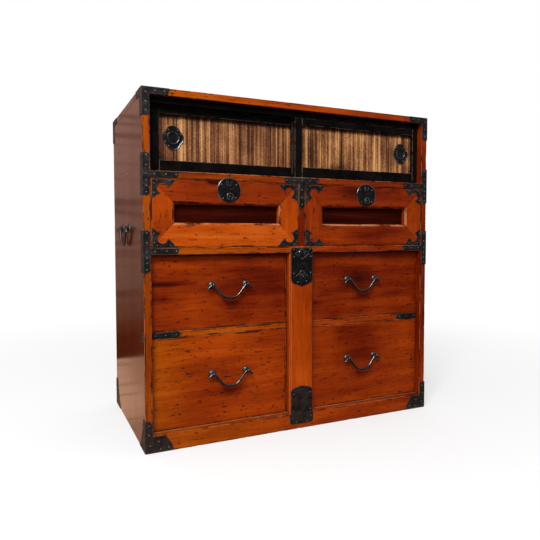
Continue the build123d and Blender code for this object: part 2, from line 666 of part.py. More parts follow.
for name, side in SIDES.items():
    frame_x = sorted(side_and_side(side, upper_inner, upper_outer))
    with BuildPart() as drawer_frame:
        mitred_frame(frame_x, (upper_low, upper_high))
    save(drawer_frame, f"{name}_upper_drawer_frame")

    with BuildPart() as drawer_panel:
        board(frame_x, (frame_back + GLUE, panel_back), (upper_low, upper_high))
    save(drawer_panel, f"{name}_upper_drawer_panel")

    with BuildPart() as upper_box:
        drawer_box(side, upper_inner, upper_outer, Z_UPPER, UPPER_OPENING, panel_back)
    save(upper_box, f"{name}_upper_drawer_box")

    with BuildPart() as drawer_irons:
        for edge_x, way_x in ((frame_x[0], 1), (frame_x[1], -1)):
            for edge_z, way_z in ((upper_low, 1), (upper_high, -1)):
                corner = (edge_x + way_x * DRAWER_IRON_INSET, edge_z + way_z * DRAWER_IRON_INSET)
                drawer_iron(corner, (way_x, way_z))
    save(drawer_irons, f"{name}_upper_drawer_irons")

    # a round plate with a key hole, and the lock's case and bolt inside the drawer
    with BuildPart() as drawer_lock:
        disc_plane = front_plane(FRONT - PLATE_GAP, side * disc_x, disc_z)
        with BuildSketch(disc_plane) as disc:
            Circle(DISC_RADIUS)
        extrude(to_extrude=disc.sketch, amount=DISC_THICKNESS)
        chamfer(drawer_lock.edges().group_by(Axis.Y)[0], 1.0)
        with BuildSketch(disc_plane.offset(DISC_THICKNESS)) as relief:
            with Locations((0, 20)):
                SlotOverall(24, 24, rotation=90)
            with Locations((0, -18)):
                Circle(10)
        extrude(to_extrude=relief.sketch, amount=1.5, taper=20)
        with BuildSketch(disc_plane) as key_hole:
            with Locations((0, -18)):
                Circle(2.6)
            with Locations((0, -21)):
                Rectangle(2.4, 6)
        extrude(to_extrude=key_hole.sketch, amount=DISC_THICKNESS + 2, mode=Mode.SUBTRACT)
        nails(disc_plane, [(-19, -22), (20, -19), (21, 15), (-21, 15)], lift=DISC_THICKNESS)
        case_z = disc_z - DISC_RADIUS / 2
        case_x = (side * disc_x - LOCK_CASE[0] / 2, side * disc_x + LOCK_CASE[0] / 2)
        case_y = (panel_back + GLUE, panel_back + GLUE + LOCK_CASE[1])
        board(case_x, case_y, (case_z - LOCK_CASE[2] / 2, case_z + LOCK_CASE[2] / 2))
        bolt_x = (side * disc_x - LOCK_BOLT[0] / 2, side * disc_x + LOCK_BOLT[0] / 2)
        bolt_z = case_z + LOCK_CASE[2] / 2 + GLUE
        board(bolt_x, (case_y[0], case_y[0] + LOCK_BOLT[1]), (bolt_z, bolt_z + LOCK_BOLT[2]))
    save(drawer_lock, f"{name}_upper_drawer_lock")

lower_inner, lower_outer = STILE_HALF + 1.5, IN - REVEAL
handle_x = IN / 2
for row, floor, opening in (("middle", Z_MIDDLE, MIDDLE_OPENING), ("bottom", Z_BOTTOM, BOTTOM_OPENING)):
    handle_z = floor + opening / 2 + HANDLE_ABOVE_CENTRE
    for name, side in SIDES.items():
        x = side_and_side(side, lower_inner, lower_outer)
        with BuildPart() as drawer_front:
            board(x, (INSET, INSET + FRONT_THICKNESS), (floor + REVEAL, floor + opening - REVEAL))
            chamfer(drawer_front.faces().sort_by(Axis.Y)[0].edges(), FRONT_EASE)
        save(drawer_front, f"{name}_{row}_drawer_front")

        with BuildPart() as lower_box:
            drawer_box(side, lower_inner, lower_outer, floor, opening, INSET + FRONT_THICKNESS)
        save(lower_box, f"{name}_{row}_drawer_box")

        with BuildPart() as drawer_posts:
            handle_posts(front_plane(INSET, side * handle_x, handle_z), DRAWER_BAIL)
        save(drawer_posts, f"{name}_{row}_drawer_posts")

        with BuildPart() as drawer_bail:
            bail(front_plane(INSET - DRAWER_BAIL["stand_off"], side * handle_x, handle_z), DRAWER_BAIL)
        save(drawer_bail, f"{name}_{row}_drawer_bail")

# ---------------------------------------------------------------- lock bar
bar_face = FRONT - PLATE_GAP
bar_low, bar_high = Z_BOTTOM + SEAT, Z_MIDDLE_SHELF - SEAT
with BuildPart() as lock_bar:
    with BuildSketch(Plane.XY.offset(bar_low)) as bar_section:
        with BuildLine():
            Polyline(
                (-BAR_HALF, bar_face + BAR_THICKNESS),
                (-BAR_HALF, bar_face + BAR_CHAMFER),
                (-BAR_HALF + BAR_CHAMFER, bar_face),
                (BAR_HALF - BAR_CHAMFER, bar_face),
                (BAR_HALF, bar_face + BAR_CHAMFER),
                (BAR_HALF, bar_face + BAR_THICKNESS),
                close=True,
            )
        make_face()
    extrude(to_extrude=bar_section.sketch, amount=bar_high - bar_low)
save(lock_bar, "lock_bar")

plate_top = Z_MIDDLE_SHELF + BAR_PLATE_LAP
plate_tip = plate_top - BAR_PLATE_LENGTH
plate_points = [
    (BAR_PLATE_HALF - 4, plate_top),
    (BAR_PLATE_HALF, plate_top - 4),
    (BAR_PLATE_HALF, plate_tip + BAR_PLATE_POINT),
    (BAR_PLATE_HALF - 8, plate_tip + BAR_PLATE_POINT / 2),
    (0, plate_tip),
]
plate_points += [(-a, b) for a, b in reversed(plate_points[:-1])]
lozenge_z = plate_top - 15
chevron_z = plate_top - 64
with BuildPart() as bar_lock_plate:
    plate(front_plane(bar_face), plate_points, BAR_IRON)
    with BuildSketch(front_plane(bar_face - BAR_IRON)) as relief:
        with BuildLine():
            Polyline((-24, lozenge_z), (0, lozenge_z - 14), (24, lozenge_z), (0, lozenge_z + 13), close=True)
        make_face()
        with BuildLine():
            Polyline(
                (-20, chevron_z - 19),
                (0, chevron_z),
                (20, chevron_z - 19),
                (16, chevron_z - 21),
                (0, chevron_z - 6),
                (-16, chevron_z - 21),
                close=True,
            )
        make_face()
    extrude(to_extrude=relief.sketch, amount=2.0, taper=25)
    with BuildSketch(front_plane(bar_face)) as bar_key_hole:
        with Locations((0, chevron_z - 16)):
            Circle(2.8)
        with Locations((0, chevron_z - 20)):
            Rectangle(2.4, 7)
    extrude(to_extrude=bar_key_hole.sketch, amount=BAR_IRON + 3, mode=Mode.SUBTRACT)
    plate_nails = [(28, -5), (28, -26), (28, -74), (14.5, -98)]
    nails(front_plane(bar_face, 0, plate_top), both_sides(plate_nails), lift=BAR_IRON)
save(bar_lock_plate, "lock_bar_plate")

foot_low = Z_BOTTOM + 0.5
with BuildPart() as bar_foot_plate:
    foot_points = [
        (BAR_PLATE_HALF, foot_low),
        (BAR_PLATE_HALF, foot_low + FOOT_PLATE_HEIGHT - FOOT_PLATE_SHOULDER),
        (BAR_PLATE_HALF - 12, foot_low + FOOT_PLATE_HEIGHT - 5),
        (0, foot_low + FOOT_PLATE_HEIGHT),
    ]
    foot_points += [(-a, b) for a, b in reversed(foot_points[:-1])]
    plate(front_plane(bar_face), foot_points, BAR_IRON)
    foot_nails = both_sides([(28, 8), (27, 58)]) + [(0, 70)]
    nails(front_plane(bar_face, 0, foot_low), foot_nails, lift=BAR_IRON)
save(bar_foot_plate, "lock_bar_foot_plate")

with BuildPart() as bar_keeper_plate:
    with BuildSketch(front_plane(FRONT, 0, Z_BOTTOM - KEEPER_HEIGHT / 2)) as keeper:
        Rectangle(2 * KEEPER_HALF, KEEPER_HEIGHT)
        fillet(keeper.vertices().group_by(Axis.Y)[0], 9)
    extrude(to_extrude=keeper.sketch, amount=BAR_IRON)
    keeper_nails = both_sides([(30, 4), (18, -9)])
    nails(front_plane(FRONT, 0, Z_BOTTOM - KEEPER_HEIGHT / 2), keeper_nails, lift=BAR_IRON)
save(bar_keeper_plate, "lock_bar_keeper_plate")

print(f"overall {WIDTH:.0f} x {DEPTH:.0f} x {HEIGHT:.0f} mm")
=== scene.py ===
from math import atan2, ceil, cos, exp, pi, radians, sin, sqrt

import bmesh
import bpy
import numpy as np
from bpy.props import FloatProperty, FloatVectorProperty, PointerProperty
from bpy.types import Operator, Panel, PropertyGroup
from mathutils import Matrix, Vector, geometry


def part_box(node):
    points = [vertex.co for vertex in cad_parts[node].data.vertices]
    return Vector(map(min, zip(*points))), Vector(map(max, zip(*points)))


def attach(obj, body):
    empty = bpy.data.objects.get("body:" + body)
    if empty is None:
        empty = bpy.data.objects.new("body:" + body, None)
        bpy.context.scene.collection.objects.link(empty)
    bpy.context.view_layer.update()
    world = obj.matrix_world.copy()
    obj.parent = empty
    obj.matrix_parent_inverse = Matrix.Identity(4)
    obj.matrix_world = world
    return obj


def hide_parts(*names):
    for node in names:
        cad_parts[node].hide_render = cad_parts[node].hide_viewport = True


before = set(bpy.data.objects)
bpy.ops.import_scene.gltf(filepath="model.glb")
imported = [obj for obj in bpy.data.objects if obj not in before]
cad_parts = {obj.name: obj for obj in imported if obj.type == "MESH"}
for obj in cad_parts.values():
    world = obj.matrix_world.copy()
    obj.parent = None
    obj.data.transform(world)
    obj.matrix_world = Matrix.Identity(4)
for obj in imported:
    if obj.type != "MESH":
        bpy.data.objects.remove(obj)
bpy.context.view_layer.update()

bl_info = {
    "name": "Isho Clothing Chest",
    "version": (1, 0, 0),
    "blender": (4, 5, 0),
    "location": "View3D > Sidebar > Chest",
    "description": "Lacquered clothing chest with sliding doors, drawers, iron fittings and a lock bar",
    "category": "Add Mesh",
}

MM = 0.001
LEFT, RIGHT = -1, 1
SIDE_NAMES = {LEFT: "left", RIGHT: "right"}
X, Y, Z = np.eye(3)

# main planes and sizes of the case, in millimetres, as in the frame
FRONT, BACK = -235.0, 235.0
INSET = -215.0  # face of the lower drawers
OUT, IN = 455.0, 435.0  # outer and inner face of the sides
HEIGHT = 940.0
SHELF_BACK = 226.0
IRON = 1.5  # thickness of the sheets
RAIL_1, RAIL_2, RAIL_3 = 721.5, 524.0, 302.5  # mid heights of the three cross rails

# how worn and how worked the surfaces are
PLANE_MARK = 0.00012  # deepest hollow that the plane left, in metres
HAMMER_MARK = 0.16
FACE_POINTS = 3.6  # spacing of the points inside a sheet
EDGE_REACH = 0.010  # how far from an arris its wear shows, in metres
SHARP = radians(48.0)  # steepest turn between faces that still shade as one


# ------------------------------------------------------------------ settings
def colour(name, description, default):
    """A colour setting, in scene linear values."""
    return FloatVectorProperty(
        name=name, description=description, subtype="COLOR", size=3, min=0, max=1, default=default
    )


def length(name, description, default, low, high):
    """A length setting, in metres."""
    return FloatProperty(
        name=name, description=description, default=default, min=low, max=high, subtype="DISTANCE", unit="LENGTH"
    )


class ChestWoodSettings(PropertyGroup):
    """Colours and arrises of the lacquered wood."""

    deep: colour("Deep lacquer", "Darkest tone of the front's lacquer", (0.032, 0.0030, 0.0009))
    red: colour("Red lacquer", "Red-brown tone of the front's lacquer", (0.13, 0.0092, 0.0009))
    brown: colour("Brown lacquer", "Middle tone of the front's lacquer", (0.25, 0.0275, 0.0010))
    orange: colour("Orange lacquer", "Bright tone of the front's lacquer", (0.40, 0.0535, 0.0012))
    pale: colour("Pale lacquer", "Lightest tone of the front's lacquer", (0.56, 0.112, 0.009))
    case: colour("Case lacquer", "Glossy lacquer of the sides and the top", (0.088, 0.014, 0.004))
    worn: colour("Worn wood", "Bare wood where the arrises are worn", (0.46, 0.175, 0.075))
    softwood: colour("Softwood", "Bare wood of the drawer boxes and the back", (0.42, 0.235, 0.115))
    arris: length("Arris radius", "Rounding of the boards' arrises", 0.0011, 0.0002, 0.003)


class ChestIronSettings(PropertyGroup):
    """Colours of the ironwork."""

    black: colour("Black iron", "Blackened face of the irons", (0.0052, 0.0050, 0.0050))
    brown: colour("Brown iron", "Worn and rusted iron near the floor", (0.0178, 0.0076, 0.0030))
    bright: colour("Bright iron", "Rubbed arrises and nail heads", (0.105, 0.100, 0.097))
    bevel: length("Filed edge", "Rounding of the iron sheets' edges", 0.0005, 0.0001, 0.001)


class ChestStageSettings(PropertyGroup):
    """Floor and light."""

    floor: colour("Floor", "Colour of the plain floor", (0.86, 0.86, 0.86))
    sky: FloatProperty(name="Sky", description="Strength of the even light all round", default=0.72, min=0, max=3)
    key: FloatProperty(
        name="Key light", description="Power of the large lamp", default=108.0, min=0, max=500,
        subtype="POWER", unit="POWER",
    )


# ------------------------------------------------------------------ surfaces
def smooth_step(value, low, high):
    """0 below low, 1 above high, and 3t² - 2t³ between."""
    t = np.clip((value - low) / (high - low), 0, 1)
    return t * t * (3 - 2 * t)


def around(count):
    """Evenly spaced angles of one full turn."""
    return np.linspace(0, 2 * pi, count, endpoint=False)


def grid_quads(rows, cols, close_rows=False, close_cols=False):
    """Quads of a grid of points numbered row by row, closed into a ring either way if asked."""
    r = np.arange(rows if close_rows else rows - 1)
    c = np.arange(cols if close_cols else cols - 1)
    a, b = np.meshgrid(r, c, indexing="ij")
    a2, b2 = (a + 1) % rows, (b + 1) % cols
    return np.stack([a * cols + b, a2 * cols + b, a2 * cols + b2, a * cols + b2], axis=-1).reshape(-1, 4)


def surface(points, quads, edge=0.0, tone=0.0, rust=0.0, paint=0, caps=(), tris=()):
    """A surface as a dict: points, quads, triangles, many-sided caps and the values painted on them."""
    out = {k: np.zeros(len(points)) + v for k, v in (("edge", edge), ("tone", tone), ("rust", rust))}
    out["points"] = np.asarray(points, dtype=float)
    out["quads"] = np.asarray(quads, dtype=int).reshape(-1, 4)
    out["tris"] = np.asarray(tris, dtype=int).reshape(-1, 3)
    out["caps"] = [list(c) for c in caps]
    out["paint"] = np.zeros(len(out["quads"]), dtype=int) + paint
    return out


def lofted(points, rows, cols, way=1, **painted):
    """Rows of points in millimetres, each a closed loop, with a flat cap on the first and the last row."""
    loops = np.arange(rows * cols).reshape(rows, cols)
    caps = [loops[0, ::way].tolist(), loops[-1, ::-way].tolist()]
    return surface(points.reshape(-1, 3) * MM, grid_quads(rows, cols, close_cols=True), caps=caps, **painted)


def joined(parts):
    """Several surfaces as one, still as separate shells."""
    start = np.cumsum([0] + [len(p["points"]) for p in parts])
    out = {k: np.concatenate([p[k] for p in parts]) for k in ("points", "edge", "tone", "rust", "paint")}
    for key in ("quads", "tris"):
        out[key] = np.concatenate([p[key] + s for p, s in zip(parts, start)])
    out["caps"] = [[i + s for i in c] for p, s in zip(parts, start) for c in p["caps"]]
    return out


def ripple(points, wavelength, seed, waves=9):
    """A smooth random value, mostly within -1 to 1: the scaled sum of sines along random directions."""
    rng = np.random.default_rng(seed)
    turn = rng.normal(size=(waves, 3))
    size = 2 * pi / wavelength * rng.uniform(0.6, 1.5, (waves, 1))
    turn *= size / np.linalg.norm(turn, axis=1)[:, None]
    return np.sin(points @ turn.T + rng.uniform(0, 2 * pi, waves)).sum(axis=1) / sqrt(waves * 2)


def ticks(low, high, near, spacing):
    """Coordinates from low to high: the near distances from both ends, evenly spaced between."""
    near = np.array([n for n in near if n < (high - low) / 2.2])
    start, stop = low + near[-1], high - near[-1]
    middle = np.linspace(start, stop, max(2, int(ceil((stop - start) / spacing)) + 1))
    return np.unique(np.concatenate([low + near, middle, high - near]).round(7))


def board(low, high, seed, spacing, tone=0.0, chips=2.6, arris=None):
    """A worn board between two corners in millimetres.

    Each point of a box grid moves to the box shrunk by a radius, plus that radius outwards, so every
    arris is a quarter round. The radius swells here and there where the arris is chipped, and the
    faces sink by a fraction of a millimetre in long waves, as a hand plane leaves them.
    """
    low, high = np.array(low) * MM, np.array(high) * MM
    low, high = np.minimum(low, high), np.maximum(low, high)
    radius = bpy.context.scene.chest_wood.arris if arris is None else arris
    near = [0, 0.35 * radius, radius, 2.2 * radius, 4.5 * radius]
    lines = [ticks(low[k], high[k], near, spacing[k] * MM) for k in range(3)]
    points, quads, start = [], [], 0
    for axis in range(3):
        a, b = (axis + 1) % 3, (axis + 2) % 3
        grid_a, grid_b = np.meshgrid(lines[a], lines[b], indexing="ij")
        faces = grid_quads(*grid_a.shape)
        for end, way in ((low[axis], 1), (high[axis], -1)):
            place = np.empty(grid_a.shape + (3,))
            place[..., axis], place[..., a], place[..., b] = end, grid_a, grid_b
            points.append(place.reshape(-1, 3))
            quads.append(faces[:, ::way] + start)
            start += grid_a.size
    points = np.concatenate(points)
    unique, index = np.unique((points * 1e7).round().astype(np.int64), axis=0, return_inverse=True)
    points, quads = unique / 1e7, index.reshape(-1)[np.concatenate(quads)]
    chip = np.clip(ripple(points, 0.034, seed) + 0.4 * ripple(points, 0.011, seed + 1) - 0.55, 0, 1.2)
    here = np.minimum(radius * (1 + chips * chip), (high - low).min() / 2.3)[:, None]
    core = np.clip(points, low + here, high - here)
    away = points - core
    away /= np.maximum(np.linalg.norm(away, axis=1), 1e-9)[:, None]
    wave = PLANE_MARK * (0.5 + 0.5 * np.clip(ripple(points, 0.11, seed + 2), -1, 1))[:, None]
    gap = np.sort(np.minimum(points - low, high - points), axis=1)[:, 1]
    if callable(tone):
        tone = tone(points / MM)
    return surface(core + away * (here - wave), quads, np.clip(1 - gap / EDGE_REACH, 0, 1), tone)


def face_middles(shape):
    """The middle of each quad, in millimetres."""
    return shape["points"][shape["quads"]].mean(axis=1) / MM


def blobs(base, *spots):
    """A tone that is base plus soft ellipses on the front: each is x, z, half width, half height, amount."""

    def value(points):
        """The base plus each amount times a bell curve of the distance over the half sizes."""
        out = np.full(len(points), base, dtype=float)
        for x, z, wide, high, amount in spots:
            out += amount * np.exp(-(((points[:, 0] - x) / wide) ** 2) - ((points[:, 2] - z) / high) ** 2)
        return out

    return value


def yellowed_leftwards(shape, start=-100.0, end=380.0):
    """Yellows a board to the left, in a smooth step between two distances left of the middle in millimetres."""
    shape["rust"] = smooth_step(-shape["points"][:, 0] / MM, start, end)
    return shape


def carried(section, stations, place, edge):
    """A closed profile carried along stations, with flat ends: point = place(profile point, station)."""
    points = np.array([place(section, s) for s in stations])
    return lofted(points, len(stations), len(section), edge=np.tile(edge, len(stations)))


def turned(profile, centre, axis, segments=28, edge=0.0, radius=None, **painted):
    """A profile of (radius, height) pairs turned about an axis, starting and ending on it or closed flat.

    radius, if given, is a function that takes the profile's radii and the angles and returns the
    radius of each point, for shapes that aren't round.
    """
    profile = np.asarray(profile, dtype=float)
    side = np.cross(axis, Z if abs(axis[2]) < 0.9 else X)
    side /= np.linalg.norm(side)
    up = np.cross(side, axis)
    angle = around(segments)
    r = np.repeat(profile[:, :1], segments, axis=1) if radius is None else radius(profile[:, 0], angle)
    spokes = np.cos(angle)[None, :, None] * side + np.sin(angle)[None, :, None] * up
    points = np.asarray(centre) + r[..., None] * spokes + profile[:, 1][:, None, None] * np.asarray(axis)
    edge = np.repeat(np.zeros(len(profile)) + edge, segments)
    return lofted(points, len(profile), segments, way=-1, edge=edge, **painted)


def tube(path, radii, normal, sides):
    """A round bar along a flat path: each station is a circle across the path, its radius from radii."""
    along = np.gradient(path, axis=0)
    along /= np.linalg.norm(along, axis=1)[:, None]
    across = np.cross(along, normal)
    angle = around(sides)
    circle = np.cos(angle)[None, :, None] * across[:, None] + np.sin(angle)[None, :, None] * normal
    return lofted(path[:, None] + radii[:, None, None] * circle, len(path), sides)


def ring(centre, axis, middle, thick, wide, segments=28, glint=0.0):
    """A ring about an axis: an ellipse, thick across and wide along the axis, carried round a circle."""
    t = around(12)
    out = turned(np.stack([middle + thick / 2 * np.cos(t), wide / 2 * np.sin(t)], axis=1), centre, axis, segments)
    quads = grid_quads(len(t), segments, close_rows=True, close_cols=True)
    return surface(out["points"], quads, edge=glint)


def softened(outline, step, passes):
    """A closed outline with points every step, its corners eased by averaging each point with its neighbours."""
    outline = np.asarray(outline, dtype=float)
    parts = []
    for a, b in zip(outline, np.roll(outline, -1, axis=0)):
        count = max(1, int(round(np.linalg.norm(b - a) / step)))
        parts.append(a + (b - a) * np.arange(count)[:, None] / count)
    out = np.concatenate(parts)
    for _ in range(passes):
        out = 0.5 * out + 0.25 * (np.roll(out, 1, axis=0) + np.roll(out, -1, axis=0))
    return out


def inset(outline, amount):
    """The outline moved inwards by amount along the mean of the normals of its two edges."""
    after = np.roll(outline, -1, axis=0)
    tangent = after - np.roll(outline, 1, axis=0)
    normal = np.stack([-tangent[:, 1], tangent[:, 0]], axis=1)
    normal /= np.maximum(np.linalg.norm(normal, axis=1), 1e-9)[:, None]
    area = np.sum(outline[:, 0] * after[:, 1] - after[:, 0] * outline[:, 1])
    return outline + normal * amount * (1 if area > 0 else -1)


def filled(outline):
    """Triangles that fill a closed outline, with inner points on a shaken grid.

    A grid point is kept where a ray from it crosses the outline an odd number of times and the
    nearest stretch of outline is at least half a cell away. Returns the inner points, their distance
    to the outline, and triangles numbered with the outline first.
    """
    rng = np.random.default_rng(len(outline))
    axes = (np.arange(l, h, FACE_POINTS) for l, h in zip(outline.min(axis=0), outline.max(axis=0)))
    grid = np.stack(np.meshgrid(*axes), axis=-1).reshape(-1, 2)
    grid += rng.uniform(-0.3, 0.3, grid.shape) * FACE_POINTS
    after = np.roll(outline, -1, axis=0)
    (run_x, run_y), run = (after - outline).T, after - outline
    dx, dy = grid[:, :1] - outline[:, 0], grid[:, 1:] - outline[:, 1]
    over = (outline[:, 1] > grid[:, 1:]) != (after[:, 1] > grid[:, 1:])
    cut = outline[:, 0] + run_x * dy / np.where(run_y == 0, 1e-12, run_y)
    inside = (over & (grid[:, :1] < cut)).sum(axis=1) % 2 == 1
    t = np.clip((dx * run_x + dy * run_y) / (run**2).sum(axis=1), 0, 1)
    near = np.hypot(dx - t * run_x, dy - t * run_y).min(axis=1)
    keep = inside & (near > 0.5 * FACE_POINTS)
    every = [Vector(p) for p in np.concatenate([outline, grid[keep]]).tolist()]
    out = geometry.delaunay_2d_cdt(every, [], [list(range(len(outline)))], 1, 1e-7)
    if len(out[0]) != len(every):
        raise ValueError("an outline crosses itself")
    number = np.array([origin[0] for origin in out[3]])
    return grid[keep], near[keep], number[np.array(out[2])]


def sheet_iron(outline, origin, right, up, thickness=IRON, rust=0.0, step=2.2, passes=1, edge=0.8, filed=1.0):
    """A hammered sheet of iron: its outline is carried up its thickness and in over a filed edge.

    The face is filled with triangles whose inner points sink by a smooth random fraction of a
    millimetre, as hammer marks leave it.
    """
    bevel = bpy.context.scene.chest_iron.bevel / MM * filed
    base = softened(outline, step, passes)
    count = len(base)
    loops = [base, base, inset(base, 0.3 * bevel), inset(base, bevel)]
    heights = np.repeat([0, thickness - bevel, thickness - 0.3 * bevel, thickness], count)
    inner, near, tris = filled(loops[-1])
    flat = np.concatenate(loops + [inner])
    points = origin + flat[:, :1] * right + flat[:, 1:] * up
    dent = HAMMER_MARK * (0.5 + 0.5 * np.clip(ripple(points, 9.0, 7), -1, 1)) * min(1.0, thickness)
    height = np.concatenate([heights, thickness - dent[4 * count:]])
    shade = np.repeat([edge, edge, edge, 0.9 * edge], count)
    shade = np.concatenate([shade, edge * np.clip(0.75 - near / 3.0, 0, 1)])
    return surface(
        (points + height[:, None] * np.cross(right, up)) * MM, grid_quads(4, count, close_cols=True), edge=shade,
        caps=[list(range(count))[::-1]], tris=tris + 3 * count, rust=rust,
    )


def nail_heads(places, out, radius=2.5, high=1.34, lift=IRON, rust=0.0):
    """Domed nail heads: at each place a quarter ellipse is turned about the way out."""
    profile = np.array([(1.0, 0.0), (0.97, 0.35), (0.75, 0.78), (0.38, 0.97), (0.05, 1.0)]) * (radius, high)
    # edge values up the head; the crown's values above one get the painted highlight of forged_iron
    shade = (0.1, 0.3, 0.9, 1.25, 1.3)
    return [turned(profile, p + out * lift, out, 9, shade, rust=rust) for p in places]


def nailed_plate(outline, nails, origin, right=X, out=-Y, radius=2.5, nail_rust=0.0, thickness=IRON, **sheet):
    """A sheet on an upright face and its nail heads, drawn along right and up from an origin."""
    places = [origin + a * right + b * Z for a, b in nails]
    outline = np.array(outline, dtype=float)
    if np.cross(right, Z) @ out < 0:
        outline, right = outline * (-1, 1), -right
    plate = sheet_iron(outline, origin, right, Z, thickness, **sheet)
    return [plate] + nail_heads(places, out, radius, lift=thickness, rust=nail_rust)


def new_object(name, data):
    """An object of the data, in the scene."""
    made = bpy.data.objects.new(name, data)
    bpy.context.scene.collection.objects.link(made)
    return made


# a slot name for each finish that isn't the front's; build looks one up but does nothing with it
SLOTS = {
    "case": "lacquered_case", "top": "lacquered_case", "back": "lacquered_case", "black": "black_lacquer",
    "panel": "striped_panel", "iron": "black_iron", "handle": "black_iron",
}


def build(name, shape, finish, body, *replaces):
    """Puts a surface into a mesh object that rides on a body and stands for CAD nodes.

    Finish names one finish, or two with a space between: the paint of a quad says which it has.
    """
    mesh = bpy.data.meshes.new(name)
    faces = shape["quads"].tolist() + shape["tris"].tolist() + shape["caps"]
    mesh.from_pydata(shape["points"].tolist(), [], faces)
    for key in finish.split():
        mesh.materials.append(finishes()[key])
    index = np.zeros(len(mesh.polygons), dtype=np.int32)
    index[: len(shape["paint"])] = shape["paint"]
    mesh.polygons.foreach_set("material_index", index)
    shell = bmesh.new()
    shell.from_mesh(mesh)
    bmesh.ops.recalc_face_normals(shell, faces=shell.faces)
    shell.to_mesh(mesh)
    shell.free()
    rng = np.random.default_rng(len(name) * 131 + sum(map(ord, name)))
    own = np.full(len(mesh.vertices), rng.uniform(0.0, 1.0))
    for key in ("edge", "tone", "rust", "board"):
        value = own if key == "board" else shape[key]
        mesh.attributes.new(key, "FLOAT", "POINT").data.foreach_set("value", value.astype(np.float32))
    mesh.polygons.foreach_set("use_smooth", np.ones(len(mesh.polygons), dtype=bool))
    mesh.set_sharp_from_angle(angle=SHARP)
    mesh.validate()
    piece = new_object(name, mesh)
    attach(piece, body)
    SLOTS.get(finish.split()[0], "lacquered_front")
    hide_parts(*replaces)


